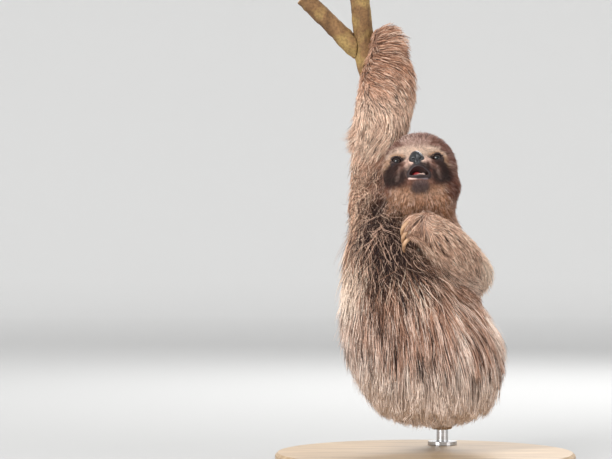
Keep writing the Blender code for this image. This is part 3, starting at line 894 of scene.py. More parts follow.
# Noise over the coat: the size of its patches and where in the noise it starts
TURN_PATCHES, PHASE_PATCHES, LIGHT_PATCHES = (8, 11.3), (7, 31.7), (2.6, 53.1)
BROAD_STREAKS, FACE_STREAKS, FINE_STREAKS = 0.22, 0.35, 0.5  # the higher, the narrower
FLATNESS = 0.7  # a tuft's thickness over its width
TAPER = ([0, 0.3, 0.7, 1], [0.6, 1, 0.75, 0.1])  # along a tuft, and its width there
WARMTH = np.array([0.04, -0.02, -0.1])  # the upper parts' tint
PATCH = 0.003  # of the coat's map for one tuft
LIE_CENTRE = (0, 47, -9)  # the head's hair lies away from here
# Hair close to the nose, the most depth elsewhere on the head, and the hair of the hip
FACE_LENGTH, FACE_WIDTH, FACE_NUMBER, FACE_DEPTH = 3.2, 0.42, 200, 1.3
HEAD_DEPTH = 6
HIP_LENGTH, HIP_WIDTH, HIP_NUMBER = 10, 0.6, 70
HIP = (84, -6, 138)  # where the thigh's short pale hair shows beside the long hair of the back
FOLD = (-42, -50, 230)  # the fold below the raised arm, where fine curls cross and the coat is painted dark as shade
ELBOW_TUFT = (-70, 0, 345)  # where the raised arm's hair stands out from it
# Where the coat stands fuller: middle, size, how much higher it stands
FULL_HAIR = [((-40, 5, 447), 30, 13), ((-8, 5, 395), 36, 2)]
FULL_HAIR += [((-76, -10, 172), 46, 3), ((74, -10, 170), 34, 3)]


def blend_guides(points, guides):
    """Direction, lightness and waviness at each point, from the guides near it."""
    guides = np.array(guides, float)
    directions = np.array([unit(row) for row in guides[:, 3:6]])
    away = np.linalg.norm(points[:, None] - guides[None, :, :3], axis=2)
    weights = 1 / (away + 3) ** 4
    weights /= weights.sum(axis=1, keepdims=True)
    blended = weights @ np.column_stack([directions, guides[:, 6:]])
    return blended[:, :3], blended[:, 3], blended[:, 4]


def head_lie(points):
    """On the head the hair lies away from the nose, and hangs more the further back it is."""
    local = to_head(points)
    away = local - np.array(LIE_CENTRE)
    away[:, 0] *= 1.2
    lie = unit(away) @ HEAD_AXES
    lie[:, 2] -= 0.5 * smoothstep(20, -10, local[:, 1])
    return lie


class Skin:
    """The skin's arrays and what the coat needs to know at each vertex."""

    def __init__(self, obj):
        self.verts, self.tris = arrays(obj.data)
        self.normals = unit(blur(vertex_normals(self.verts, self.tris), self.tris, 2))
        self.nodes = list(COAT)
        samples, owners = surface_samples(self.nodes)
        self.owner = nearest_owner(self.verts, samples, owners)
        self.local = to_head(self.verts)
        self.tree = BVHTree.FromPolygons(self.verts.tolist(), self.tris.tolist())
        table = np.array([COAT[n] for n in self.nodes], float)
        self.hair = blur(table[self.owner], self.tris, 10)
        self.measure_head()
        self.measure_body()
        self.comb()
        self.colour_coat()

    def on(self, *nodes):
        """Which vertices lie on some nodes."""
        return np.isin(self.owner, [self.nodes.index(n) for n in nodes])

    def measure_head(self):
        """Shorter, finer and denser hair near the face, and none on its bare parts."""
        length, width, number, depth = self.hair.T
        local, head = self.local, self.on(*HEAD_NODES)
        near = nearness(local, NOSE_LOCAL, 46, 10) * head
        length += (FACE_LENGTH - length) * near
        width += (FACE_WIDTH - width) * near
        number += (FACE_NUMBER - number) * nearness(local, NOSE_LOCAL, 42, 25) * head
        depth += (FACE_DEPTH - depth) * near
        depth[head] = np.minimum(depth[head], HEAD_DEPTH)
        eye = eye_distance(local)
        length *= 1 - 0.5 * smoothstep(10, 7.5, eye)
        length *= 1 - 0.35 * smoothstep(8.5, 6.5, eye)
        lids = smoothstep(7.2, 6.4, eye)
        lips = smoothstep(2.6, 1.9, mouth_field(local)) * (local[:, 1] > 10)
        bare = np.maximum(np.maximum(lids, lips), nearness(local, NOSE_LOCAL, 8.5, 7.5))
        number *= 1 - bare * head

    def measure_body(self):
        """Longer, shorter or fuller hair in places on the body."""
        length, width, number, depth = self.hair.T
        verts, trunk = self.verts, self.on("trunk")
        claws = [arrays(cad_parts[f"claw_hand_right_{k}"].data)[0] for k in (1, 2, 3)]
        tree = tree_of(np.concatenate(claws))
        claw = np.array([tree.find(p)[2] for p in verts.tolist()])
        covered = smoothstep(24, 12, claw) * self.on("trunk", "neck")
        depth += 10 * covered
        length[:] = np.maximum(length, 30 * covered)
        hip = nearness(verts, HIP, 30, 23, (1, 1, 0.7)) * trunk
        length += (HIP_LENGTH - length) * hip
        width += (HIP_WIDTH - width) * hip
        number += (HIP_NUMBER - number) * hip
        rump = smoothstep(105, 70, verts[:, 2]) * trunk
        length *= 1 - 0.6 * rump
        width *= 1 - 0.2 * rump
        number *= (1 + 0.8 * rump) * (1 + 0.8 * nearness(verts, FOLD, 32, 18, (1, 0.6, 0.7)))
        self.lift = np.maximum(0.38 * rump, 0.7 * nearness(verts, ELBOW_TUFT, 22, 8))
        for centre, size, rise in FULL_HAIR:
            full = nearness(verts, centre, size, size * 0.4)
            depth += rise * full
            self.lift += 0.03 * rise * full
        grip = smoothstep(19, 10, claw) * self.on("hand_right")
        length += 16 * grip
        depth += 4 * grip

    def comb(self):
        """Lie, lightness and waviness."""
        self.lie = head_lie(self.verts)
        self.tone, self.wave = np.full(len(self.verts), 0.4), np.full(len(self.verts), 0.25)
        for nodes, guides, _, _ in COATS.values():
            if guides:
                mine = self.on(*nodes)
                self.lie[mine], self.tone[mine], self.wave[mine] = blend_guides(self.verts[mine], guides)
        self.tone += 0.5 * noise_at(self.verts * (0.13, 0.09, 0.02)) * self.on("trunk")
        fields = blur(np.column_stack([self.lie, self.tone, self.wave]), self.tris, 3)
        self.lie = unit(without(fields[:, :3], self.normals))
        self.tone, self.wave = fields[:, 3], fields[:, 4]

    def colour_coat(self):
        """The coat's colour, with the face's markings on the head and fading out on the neck."""
        head = self.on(*HEAD_NODES, "neck").astype(float)
        self.head = blur(head[:, None], self.tris, 6)[:, 0]
        self.colour = paint(hair_colour(self.tone), face_colour(self.local), self.head)


def unwrap(skin, faces):
    """Corners of an unwrap of part of the skin, as (faces, 3, 2)."""
    used, small = np.unique(skin.tris[faces], return_inverse=True)
    obj = mesh_object("unwrap", skin.verts[used], small.reshape(-1, 3))
    obj.data.uv_layers.new(name="map")
    bpy.context.view_layer.objects.active = obj
    obj.select_set(True)
    bpy.ops.object.mode_set(mode="EDIT")
    bpy.ops.mesh.select_all(action="SELECT")
    bpy.ops.uv.smart_project(angle_limit=math.radians(66), island_margin=0.004)
    bpy.ops.object.mode_set(mode="OBJECT")
    flat = np.zeros(len(obj.data.loops) * 2)
    obj.data.uv_layers["map"].data.foreach_get("uv", flat)
    bpy.data.objects.remove(obj, do_unlink=True)
    return flat.reshape(-1, 3, 2)


def near_things(points, nodes, distance):
    """Which points lie close to, or inside, some nodes."""
    close = np.zeros(len(points), bool)
    for node in nodes:
        verts, tris = arrays(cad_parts[node].data)
        tree = BVHTree.FromPolygons(verts.tolist(), tris.tolist())
        for i, point in enumerate(points):
            place, normal, _, away = tree.find_nearest(point, 40)
            if place is None:
                continue
            close[i] |= away < distance or (Vector(point) - place).dot(normal) < 0
    return close


def patchy(roots, size, shift):
    """Noise that changes over patches of about a size."""
    return noise_at(roots / size + shift)


def streaks(roots, lies, scale):
    """Noise in narrow streaks that run along the lie of the hair."""
    return noise_at(without(roots - roots.mean(axis=0), lies, 0.93) * scale)


def tuft_paths(skin, tufts, rings):
    """Centre lines of tufts that follow the skin, as (tufts, rings + 1, 3), and their side vectors."""
    roots, normals, lies, wave, stray = tufts.roots, tufts.normals, tufts.lies, tufts.wave, tufts.stray
    count = len(roots)
    length, depth = tufts.hair[:, 0] * rng.uniform(*LENGTHS, count), tufts.hair[:, 3]
    lift = tufts.lift + STRAY_LIFT * stray
    turn = rng.normal(0, 1, count) * (1 - 0.45 * wave) + 3.2 * wave * patchy(roots, *TURN_PATCHES)
    turn *= (0.07 + 0.4 * wave + 0.4 * wave**3) * np.where(stray, STRAY_TURN, 1)
    heading = lies * np.cos(turn)[:, None] + np.cross(normals, lies) * np.sin(turn)[:, None]
    top = (rng.uniform(*HEIGHTS, count) * depth + 0.6) * np.where(stray, STRAY_HEIGHT, 1)
    stiff = rng.uniform(*STIFFNESS, count) + 0.5 * lift
    rise = np.minimum(top / np.maximum(length, 1), 0.6) + 0.7 * lift
    first = heading * (1 - 0.5 * lift)[:, None] + normals * rise[:, None]
    phase = rng.uniform(0, 2 * np.pi, count) * (1 - 0.75 * wave) + 14 * patchy(roots, *PHASE_PATCHES)
    place, points, sides = roots, [roots], [np.cross(normals, heading)]
    for k in range(1, rings + 1):
        t = k / rings
        goal = place + heading * (length / rings)[:, None]
        found = [skin.tree.find_nearest(p) for p in goal.tolist()]
        place = np.array([f[0] for f in found])
        corner = skin.tris[[f[2] for f in found], 0]
        normal = skin.normals[corner]
        heading = heading * 0.65 + skin.lie[corner] * 0.35 * (1 - 0.8 * wave)[:, None]
        heading = unit(without(heading, normal))
        lying = place + normal * (top * (1 - (1 - t) ** 1.7))[:, None]
        straight = roots + first * (length * t)[:, None]
        across = np.cross(normal, heading)
        bend = np.sin(phase + t * (3.5 + 5 * wave)) * wave * 2.6 * np.sqrt(t)
        points.append(lying + (straight - lying) * (stiff * t)[:, None] + across * bend[:, None])
        sides.append(across)
    return np.stack(points, axis=1), np.stack(sides, axis=1)


def gather(points, pull):
    """Draws the tips of tufts together in locks."""
    roots = points[:, 0]
    count = max(int(len(roots) / LOCK_SIZE), 1)
    leaders = rng.choice(len(roots), count, replace=False)
    tree = tree_of(roots[leaders])
    target = points[leaders[[tree.find(p)[1] for p in roots.tolist()]]]
    strength = pull * smoothstep(*LOCK_REACH, np.linalg.norm(target[:, 0] - roots, axis=1))
    t = np.linspace(0, 1, points.shape[1])[None, :, None]
    return points + (target - points) * strength[:, None, None] * t**1.4


def spindle_faces(rings):
    """Triangles of a closed three-sided spindle, whose last vertex is its tip."""
    faces = [(0, 2, 1)]
    base = 3 * (rings - 1)
    for low in range(0, base, 3):
        for i in range(3):
            a, b, c, d = low + i, low + (i + 1) % 3, low + 3 + (i + 1) % 3, low + 3 + i
            faces += [(a, b, c), (a, c, d)]
    faces += [(base + i, base + (i + 1) % 3, base + 3) for i in range(3)]
    return np.array(faces)


def spindle_verts(tufts):
    """Three vertices round each station of the tufts' centre lines, and the tip."""
    points = tufts.points
    along = unit(np.gradient(points, axis=1))
    wide = unit(without(tufts.sides, along))
    thick = np.cross(along, wide)
    taper = np.interp(np.linspace(0, 1, points.shape[1])[:-1], *TAPER)
    verts = []
    for k, share in enumerate(taper):
        half = (tufts.widths * share / 2)[:, None]
        for turn in (90, 210, 330):
            angle = math.radians(turn)
            offset = wide[:, k] * math.cos(angle) + thick[:, k] * math.sin(angle) * FLATNESS
            verts.append(points[:, k] + offset * half)
    verts.append(points[:, -1])
    return np.stack(verts, axis=1)


def tuft_mesh(name, tufts):
    """Tufts as closed spindles in one object, with their colours and their patches of the map."""
    verts = spindle_verts(tufts)
    count, each = verts.shape[:2]
    rings = each // 3
    faces = (spindle_faces(rings)[None] + (np.arange(count) * each)[:, None, None]).reshape(-1, 3)
    corners = faces.ravel().astype(np.int32)
    mesh = bpy.data.meshes.new(name)
    mesh.vertices.add(count * each)
    place_vertices(mesh, verts)
    mesh.loops.add(len(corners))
    mesh.loops.foreach_set("vertex_index", corners)
    mesh.polygons.add(len(faces))
    mesh.polygons.foreach_set("loop_start", np.arange(0, len(corners), 3, dtype=np.int32))
    mesh.update(calc_edges=True)
    mesh.shade_smooth()
    station = np.append(np.repeat(np.arange(rings), 3), rings) / rings
    # Each tuft fades from its root colour, which is darkened partly as painted shade, to its tip
    blend = smoothstep(0.0, 0.4, station)[None, :, None]
    dark, tips = tufts.dark[:, None], tufts.tips[:, None]
    store_tint(mesh, (dark + (tips - dark) * blend).reshape(-1, 3))
    corner = np.append(np.tile([0.0, 0.5, 1.0], rings), 0.5)
    patch = (np.stack([station, corner], axis=1) - 0.5) * PATCH
    uv = (tufts.maps[:, None] + patch[None]).reshape(-1, 2)[corners]
    mesh.uv_layers.new(name="OFBake").data.foreach_set("uv", uv.ravel())
    return new_object(name, mesh)


def plant(skin, nodes):
    """Random roots on some nodes' share of the skin: corners of their triangles, mix and map."""
    faces = np.flatnonzero(skin.on(*nodes)[skin.tris[:, 0]])
    tris = skin.tris[faces]
    area = np.linalg.norm(tri_normals(skin.verts, tris), axis=1) / 2
    chance = area * (skin.hair[tris, 2].mean(axis=1) / 100)
    count = int(chance.sum())
    picks = rng.choice(len(tris), count, p=chance / chance.sum())
    mix = rng.dirichlet((1, 1, 1), count)[:, :, None]
    corners = tris[picks]
    roots = (skin.verts[corners] * mix).sum(axis=1)
    clear = ~near_things(roots, ("perch_stem", "perch_prong"), STEM_GAP)
    maps = (unwrap(skin, faces)[picks] * mix).sum(axis=1)
    return corners[clear], mix[clear], maps[clear]


def make_tufts(skin, nodes):
    """The tufts of a coat: their roots, and what the skin says there."""
    corners, mix, maps = plant(skin, nodes)

    def at_root(values):
        if values.ndim == 1:
            return at_root(values[:, None])[:, 0]
        return (values[corners] * mix).sum(axis=1)

    roots, lies, hair = at_root(skin.verts), unit(at_root(skin.lie)), at_root(skin.hair)
    ahead = roots + lies * hair[:, :1] * SEEN_AT
    seen = skin.tris[[skin.tree.find_nearest(p)[2] for p in ahead.tolist()], 0]
    stray = rng.uniform(0, 1, len(roots)) < STRAYS
    return SimpleNamespace(
        roots=roots,
        normals=unit(at_root(skin.normals)),
        lies=lies,
        hair=hair,
        wave=at_root(skin.wave),
        head=at_root(skin.head),
        lift=at_root(skin.lift),
        colour=skin.colour[seen],
        tone=skin.tone[seen],
        stray=stray,
        widths=hair[:, 1] * rng.uniform(*WIDTHS, len(roots)) * np.where(stray, STRAY_WIDTH, 1),
        maps=maps,
    )


def some(tufts, which):
    return SimpleNamespace(**{key: values[which] for key, values in vars(tufts).items()})


def lightness(tufts, curl):
    """How much paler or darker than its place each tuft is: fine and broad streaks, and chance."""
    roots, lies, length = tufts.roots, tufts.lies, tufts.hair[:, 0]
    light = 2.4 * streaks(roots, lies, BROAD_STREAKS) * smoothstep(14, 40, length)
    chance = (0.6 + 0.3 * curl) * rng.normal(0, 1, len(roots))
    light += 1.6 * streaks(roots, lies, FINE_STREAKS) + chance
    light += 3.2 * curl * patchy(roots, *LIGHT_PATCHES)
    light += 2.4 * streaks(roots, lies, FACE_STREAKS) * tufts.head * smoothstep(5, 8, length)
    return light


def colour_tufts(tufts):
    """Gives tufts their colours at the root and the tip, and makes curls thinner; roots are darker,
    partly as the hair's darker base and partly as painted shade deep in the coat.
    """
    colour, tone, head = tufts.colour, tufts.tone, tufts.head
    # This mask marks the fold below the raised arm, where painted shade darkens the tufts and more pale
    # curls cross
    fold_shade = smoothstep(0.45, 0.2, tone) * smoothstep(0.45, 0.8, tufts.wave)
    curl = smoothstep(0.55, 0.9, tufts.wave)
    light = lightness(tufts, curl)
    paler = np.clip(light - 0.1 + 0.2 * curl - fold_shade, 0, 1.2)
    tufts.widths *= 1 - curl * np.where(paler > 0, 0.3, 0.25)
    paler *= np.clip(0.2 + tone + 0.8 * curl + 0.8 * fold_shade, 0.1, 1 + 0.6 * curl)
    paler = np.minimum(paler, 1.2 - 0.1 * curl - 0.3 * fold_shade)
    darker = np.clip(-light - 0.2, 0, 1.2) * 0.85 * np.clip(1.7 - tone, 0.3, 1)
    # Painted shade: in the fold below the raised arm the place's colour is darkened
    mixed = paint(colour * (1 - 0.55 * fold_shade)[:, None], paint(PALE_HAIR, CURL_HAIR, curl), paler)
    mixed = paint(mixed, DARK_HAIR * 0.7, darker)
    fleck = light * (0.6 + smoothstep(4, 8, tufts.hair[:, 0]))
    fair = smoothstep(0.02, 0.3, colour.mean(axis=1))
    speckled = paint(colour, PALE_HAIR, np.clip(fleck * 0.3, 0, 0.6) * (0.12 + 0.88 * fair))
    speckled = paint(speckled, DARK_HAIR, np.clip(-fleck * 0.34, 0, 0.7))
    warm = smoothstep(150, 230, tufts.roots[:, 2]) * (1 - head)
    tips = paint(mixed, speckled, head) * (1 + warm[:, None] * WARMTH)
    tufts.tips = np.clip(tips, 0.01, 0.95)
    # Painted shade deep in the coat, together with the hair's darker base: roots keep this share of
    # their place's colour, more on the head and on pale coat
    kept = 0.3 + 0.25 * head + 0.7 * np.clip(tone - 0.8, 0, 0.7)
    tufts.dark = colour * kept[:, None] + ROOT_BROWN * 0.2 * (1 - head)[:, None]


def grow_coat(skin, name, material):
    """All the tufts of one coat, straight and curly ones apart, in pieces of bounded size."""
    nodes, _, rings, locks = COATS[name]
    tufts = make_tufts(skin, nodes)
    colour_tufts(tufts)
    curly = tufts.wave >= CURLY
    if curly.mean() < FEWEST_CURLY:
        curly[:] = False
    kinds = [("", ~curly, rings, locks), ("curls_", curly, CURLY_RINGS, CURLY_LOCKS)]
    for kind, which, steps, pull in kinds:
        if not which.any():
            continue
        mine = some(tufts, which)
        points, mine.sides = tuft_paths(skin, mine, steps)
        mine.points = gather(points, pull)
        each = 6 * (steps - 1) + 4
        pieces = math.ceil(len(points) * each / MOST_TRIANGLES)
        order = np.argsort(mine.points[:, 0, 2])
        for number, part in enumerate(np.array_split(order, pieces), 1):
            title = f"coat_{kind}{name}" + (f"_{number}" if pieces > 1 else "")
            obj = tuft_mesh(title, some(mine, part))
            obj.data.materials.append(material)
            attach(obj, "root")
            print(title, len(part), "tufts", len(part) * each, "triangles")


def colour_skin(obj, skin):
    """Gives the skin the coat's own markings, darkened as painted shade under the coat, the more where
    the coat is long.
    """
    # Painted shade under the coat: darker overall, and darker still under long hair
    colour = skin.colour * (0.85 - 0.4 * smoothstep(6, 20, skin.hair[:, 0]))[:, None]
    head = skin.head > 0.3
    colour[head] = bare_colour(skin.local[head], colour[head])
    store_tint(obj.data, colour)
    moist = np.zeros(len(colour))
    moist[head] = smoothstep(1.6, -1.0, mouth_field(skin.local[head]))
    moist[skin.local[:, 1] < 15] = 0
    store(obj.data, "moist", moist)


# ---------------------------------------------------------------- materials


class Nodes:
    """A short way to write a material's nodes."""

    def __init__(self, name, values):
        self.material = bpy.data.materials.new(name)
        self.material.use_nodes = True
        self.tree = self.material.node_tree
        self.shader = self.tree.nodes["Principled BSDF"]
        for key, value in values.items():
            self.shader.inputs[key].default_value = value

    def add(self, kind, **settings):
        node = self.tree.nodes.new("ShaderNode" + kind)
        for key, value in settings.items():
            if key in node.inputs:
                node.inputs[key].default_value = value
            else:
                setattr(node, key, value)
        return node

    def link(self, source, target):
        self.tree.links.new(source, target)

    def colour(self, source):
        self.link(source, self.shader.inputs["Base Color"])

    def attribute(self, name, output="Fac"):
        return self.add("Attribute", attribute_name=name).outputs[output]

    def place(self, target):
        self.link(self.add("TexCoord").outputs["Object"], target)

    def noise(self, scale, detail=4, stretch=(1, 1, 1)):
        mapping = self.add("Mapping", Scale=stretch)
        self.place(mapping.inputs["Vector"])
        node = self.add("TexNoise", Scale=scale, Detail=detail)
        self.link(mapping.outputs["Vector"], node.inputs["Vector"])
        return node.outputs["Fac"]

    def ramp(self, source, stops):
        node = self.add("ValToRGB")
        elements = node.color_ramp.elements
        while len(elements) < len(stops):
            elements.new(0.5)
        for element, (position, colour) in zip(elements, stops):
            element.position = position
            element.color = (*colour, 1)
        self.link(source, node.inputs["Fac"])
        return node.outputs["Color"]

    def mix(self, blend, factor, a, b):
        node = self.add("Mix", data_type="RGBA", blend_type=blend)
        for value, socket in ((factor, node.inputs[0]), (a, node.inputs[6]), (b, node.inputs[7])):
            if hasattr(value, "is_output"):
                self.link(value, socket)
            else:
                socket.default_value = value
        return node.outputs[2]

    def flecked(self, colour, scale, stops):
        """A colour with darker and paler flecks over it."""
        return self.mix("MULTIPLY", 1.0, colour, self.ramp(self.noise(scale), stops))

    def bump(self, height, strength, distance):
        node = self.add("Bump", Strength=strength, Distance=distance)
        self.link(height, node.inputs["Height"])
        self.link(node.outputs["Normal"], self.shader.inputs["Normal"])


def grained(name, grain, stops, values):
    """A material whose colour follows one noise, given by its scale, detail and stretch."""
    nodes = Nodes(name, values)
    nodes.colour(nodes.ramp(nodes.noise(*grain), stops))
    return nodes


def coat_material():
    nodes = Nodes("coat", {"Roughness": 0.62, "Specular IOR Level": 0.35})
    stops = [(0.3, (0.78, 0.76, 0.74)), (0.7, (1.16, 1.16, 1.16))]
    nodes.colour(nodes.flecked(nodes.attribute("tint", "Color"), 420, stops))
    return nodes.material


def skin_material():
    nodes = Nodes("skin", {})
    stops = [(0.3, (0.72, 0.7, 0.68)), (0.7, (1.12, 1.12, 1.12))]
    nodes.colour(nodes.flecked(nodes.attribute("tint", "Color"), 700, stops))
    rough = nodes.add("MapRange")
    rough.inputs["To Min"].default_value, rough.inputs["To Max"].default_value = 0.8, 0.38
    nodes.link(nodes.attribute("moist"), rough.inputs["Value"])
    nodes.link(rough.outputs["Result"], nodes.shader.inputs["Roughness"])
    nodes.bump(nodes.noise(1500, 3), 0.35, 0.0004)
    return nodes.material


# ---------------------------------------------------------------- eyes, nose, tongue, claws


def place_piece(obj, node, material):
    obj.data.materials.append(material)
    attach(obj, "root")
    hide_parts(node)


def eye_material():
    """Nearly black, with a brown iris that shows a little at its rim."""
    values = {"Roughness": 0.12, "Specular IOR Level": 0.3, "Coat Weight": 0.25, "Coat Roughness": 0.03}
    nodes = Nodes("eye", values)
    pupil = [(0.0, shade(6, 4, 4)), (0.36, shade(8, 5, 4))]
    iris = [(0.46, shade(36, 21, 15)), (0.85, shade(24, 15, 11))]
    nodes.colour(nodes.ramp(nodes.attribute("iris"), pupil + iris))
    return nodes.material


def make_eyes():
    material = eye_material()
    for side, sign in (("left", -1), ("right", 1)):
        centre = eye_centre(sign)
        verts, faces = egg_surface(centre, (EYE_RADIUS,) * 3, 4, 64, EYE_RADIUS + 2)
        eye = mesh_object("eyeball_" + side, from_head(verts), faces)
        gaze = unit(np.array([sign * 0.12, 0.95, -0.25]))
        out = np.linalg.norm(np.cross(unit(verts - centre), gaze), axis=1)
        store(eye.data, "iris", np.where((verts - centre) @ gaze > 0, out, 1.0))
        place_piece(eye, "eye_" + side, material)


def make_nose():
    thetas = np.radians(np.arange(2, 180, 2))
    verts, faces = star_surface(lambda p: sculpt(p, NOSE_FORMS), np.zeros(3), thetas, 120, 12)
    side, forward, up = verts.T
    cos, sin = math.cos(NOSE_TILT), math.sin(NOSE_TILT)
    turned = np.column_stack([side, forward * cos - up * sin, forward * sin + up * cos])
    nose = mesh_object("nose_pad", from_head(turned + NOSE_LOCAL), faces)
    values = {"Roughness": 0.34, "Coat Weight": 0.3, "Coat Roughness": 0.16}
    nodes = grained("nose", (260,), [(0.3, shade(10, 10, 12)), (0.7, shade(24, 24, 28))], values)
    pores = nodes.add("TexVoronoi", Scale=1700)
    nodes.place(pores.inputs["Vector"])
    nodes.bump(pores.outputs["Distance"], 0.35, 0.0003)
    place_piece(nose, "nose", nodes.material)


def make_tongue():
    thetas = np.radians(np.arange(3, 180, 3))
    centre = np.array(TONGUE_CENTRE)
    verts, faces = star_surface(lambda p: sculpt(p, TONGUE_FORMS), centre, thetas, 72, 12)
    tongue = mesh_object("tongue_skin", from_head(verts), faces)
    stops = [(0.3, shade(154, 42, 46)), (0.7, shade(190, 72, 70))]
    nodes = grained("tongue", (500,), stops, {"Roughness": 0.3})
    nodes.bump(nodes.noise(2600, 2), 0.4, 0.0003)
    place_piece(tongue, "tongue", nodes.material)


def smooth_copy(node, name, levels):
    """A rounded copy of a CAD node's mesh."""
    obj = bmesh_object(name, merged_copy(node))
    rounded = obj.modifiers.new("rounded", "SUBSURF")
    rounded.levels = rounded.render_levels = levels
    evaluated(obj)
    obj.data.name = name
    obj.data.shade_smooth()
    return obj


def make_claws():
    stops = [(0.3, shade(124, 88, 62)), (0.5, shade(184, 146, 112)), (0.75, shade(208, 180, 148))]
    nodes = grained("claw", (90, 5, (1, 1, 0.35)), stops, {"Roughness": 0.36})
    nodes.bump(nodes.noise(900, 3, (1, 1, 0.3)), 0.25, 0.0003)
    for node in sorted(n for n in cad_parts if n.startswith("claw_")):
        place_piece(smooth_copy(node, "horn_" + node, 3), node, nodes.material)


# ---------------------------------------------------------------- the stem and the stand


def bark_material(name, streak, streak_from):
    """Brown bark with streaks, lichen and specks, and rings of wood on the sawn ends."""
    nodes = Nodes(name, {"Roughness": 0.82})
    browns = [(0.25, shade(66, 45, 26)), (0.45, shade(107, 77, 45)), (0.6, shade(130, 97, 61))]
    bark = nodes.ramp(nodes.noise(60, 6, (1, 1, 0.22)), [*browns, (streak_from, streak)])
    lichen = nodes.ramp(nodes.noise(36, 5), [(0.52, (0, 0, 0)), (0.66, (1, 1, 1))])
    bark = nodes.mix("MIX", lichen, bark, (*shade(150, 124, 74), 1))
    bark = nodes.flecked(bark, 420, [(0.35, (0.7, 0.68, 0.66)), (0.6, (1.08, 1.08, 1.08))])
    spacing = nodes.add("Math", operation="MULTIPLY")
    spacing.inputs[1].default_value = YEAR_RINGS
    nodes.link(nodes.attribute("pith"), spacing.inputs[0])
    rings = nodes.add("Math", operation="SINE")
    nodes.link(spacing.outputs[0], rings.inputs[0])
    wood = nodes.ramp(rings.outputs[0], [(0.2, shade(196, 164, 122)), (0.9, shade(222, 196, 156))])
    nodes.colour(nodes.mix("MIX", nodes.attribute("sawn"), bark, wood))
    nodes.bump(nodes.noise(520, 5, (1, 1, 0.4)), 0.55, 0.0006)
    return nodes.material


def make_bark(node, name, material, shift):
    """A cut length of stem with ridges, knots and pits in its bark; shift changes the pattern."""
    obj = bmesh_object(name, merged_copy(node))
    remesh(obj, BARK_VOXEL)
    verts, tris = arrays(obj.data)
    verts = blur(verts, tris, 3)
    normals = vertex_normals(verts, tris)
    low, high = verts[:, 2].min(), verts[:, 2].max()
    foot = verts[verts[:, 2] < low + BARK_END].mean(axis=0)
    top = verts[verts[:, 2] > high - BARK_END].mean(axis=0)
    axis = unit(top - foot)
    far = np.minimum((verts - foot) @ axis, (top - verts) @ axis)
    sawn = smoothstep(0.75, 0.9, np.abs(normals @ axis)) * (far < SAWN_END)
    along = np.array([place @ axis for place in verts])
    ridges = noise_at(np.column_stack([verts[:, :2] * 0.22, along * 0.03 + shift]))
    rise = ridges + noise_at(verts * 0.16) * 0.7 + noise_at(verts * 0.6) * 0.25
    verts = verts + normals * (rise * BARK_RELIEF * (1 - sawn))[:, None]
    place_vertices(obj.data, verts)
    obj.data.update()
    obj.data.name = name
    obj.data.shade_smooth()
    upper = (verts - foot) @ axis > (top - verts) @ axis
    ends = np.where(upper[:, None], top, foot)
    store(obj.data, "sawn", sawn)
    store(obj.data, "pith", np.linalg.norm(np.cross(verts - ends, axis), axis=1))
    place_piece(obj, node, material)


def make_perch():
    make_bark("perch_stem", "stem_bark", bark_material("stem bark", shade(150, 122, 84), 0.8), 0.0)
    make_bark("perch_prong", "prong_bark", bark_material("prong bark", shade(150, 80, 58), 0.66), 5.0)


def finish_stand():
    """Wood on the base and steel on the rod, which keep their own meshes."""
    stops = [(0.3, shade(150, 124, 94)), (0.55, shade(174, 148, 116)), (0.75, shade(188, 164, 132))]
    wood = grained("stand wood", (14, 6, (1, 9, 1)), stops, {"Roughness": 0.42})
    wood.bump(wood.noise(60, 5, (1, 12, 1)), 0.12, 0.0004)
    stops = [(0.3, (0.42, 0.42, 0.43)), (0.7, (0.62, 0.62, 0.63))]
    steel = grained("rod steel", (300, 4, (0.2, 0.2, 6)), stops, {"Metallic": 1.0, "Roughness": 0.32})
    for node, nodes in (("stand_base", wood), ("stand_rod", steel)):
        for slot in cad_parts[node].material_slots:
            slot.material = nodes.material


# ---------------------------------------------------------------- stage


def make_camera():
    data = bpy.data.cameras.new("camera")
    data.lens = CAMERA_LENS
    data.sensor_width = SENSOR
    data.clip_start, data.clip_end = 0.1, 20
    camera = new_object("camera", data)
    camera.location = CAMERA_PLACE
    camera.rotation_euler = (math.pi / 2, 0, 0)
    bpy.context.scene.camera = camera


def make_light(name, place, target, power, size):
    data = bpy.data.lights.new(name, "AREA")
    data.energy = power
    data.size = size
    light = new_object(name, data)
    light.location = place
    light.rotation_euler = (Vector(target) - Vector(place)).to_track_quat("-Z", "Y").to_euler()


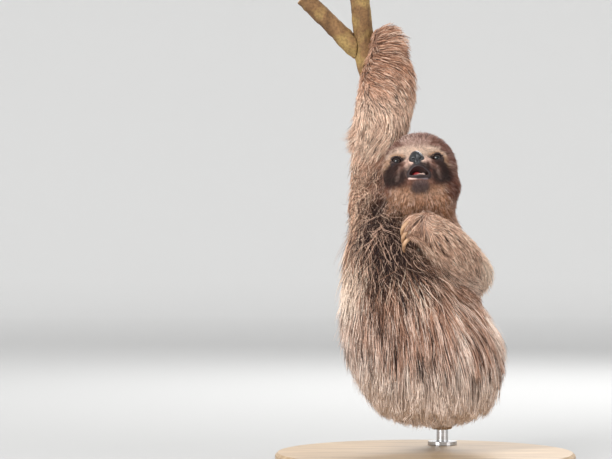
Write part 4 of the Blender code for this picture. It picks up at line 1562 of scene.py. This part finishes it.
def bowl(flat, bend, rise, turns):
    """A round floor whose rim curves up into a wall."""
    profile = [(flat * share, 0) for share in (0.25, 0.5, 1)]
    for step in range(1, 9):
        angle = math.pi / 2 * step / 8
        profile.append((flat + bend * math.sin(angle), bend * (1 - math.cos(angle))))
    profile.append((flat + bend, rise))
    verts = [(0, 0, 0)]
    for radius, height in profile:
        for j in range(turns):
            angle = 2 * math.pi * j / turns
            verts.append((radius * math.cos(angle), radius * math.sin(angle), height))
    faces = [(0, 1 + j, 1 + (j + 1) % turns) for j in range(turns)]
    for low in range(1, 1 + (len(profile) - 1) * turns, turns):
        faces += [(a, d, c, b) for a, b, c, d in quads(low, low + turns, turns)]
    return verts, faces


def make_floor():
    """A pale floor, painted darker near the middle and lighter further out in place of the lamps' pool
    and fall-off of light.
    """
    floor = mesh_object("floor", *bowl(*FLOOR))
    nodes = Nodes("floor", {"Roughness": 0.9})
    distance = nodes.add("VectorMath", operation="LENGTH")
    nodes.place(distance.inputs[0])
    share = nodes.add("MapRange")
    share.inputs["From Min"].default_value, share.inputs["From Max"].default_value = 0.4, 5.0
    nodes.link(distance.outputs["Value"], share.inputs["Value"])
    # Painted light: darker where the lamps light the floor most, paler far out where their light falls
    # off
    stops = [(0.0, (0.4, 0.4, 0.396)), (0.5, (0.62, 0.62, 0.616)), (1.0, (0.86, 0.86, 0.855))]
    nodes.colour(nodes.ramp(share.outputs["Result"], stops))
    floor.data.materials.append(nodes.material)


def make_stage():
    world = bpy.data.worlds.new("world")
    world.use_nodes = True
    background = world.node_tree.nodes["Background"]
    background.inputs["Color"].default_value = (1, 1, 1, 1)
    background.inputs["Strength"].default_value = WORLD_LIGHT
    bpy.context.scene.world = world
    bpy.context.scene.view_settings.view_transform = "Standard"
    for name, light in LIGHTS.items():
        make_light(name, *light)
    make_floor()


# ---------------------------------------------------------------- all together


make_camera()
make_stage()
skin = make_skin()
skin.data.materials.append(skin_material())
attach(skin, "root")
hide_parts(*BODY_NODES, *HEAD_NODES)
bare = Skin(skin)
colour_skin(skin, bare)
make_eyes()
make_nose()
make_tongue()
make_claws()
make_perch()
finish_stand()
coat = coat_material()
for coat_name in COATS:
    grow_coat(bare, coat_name, coat)
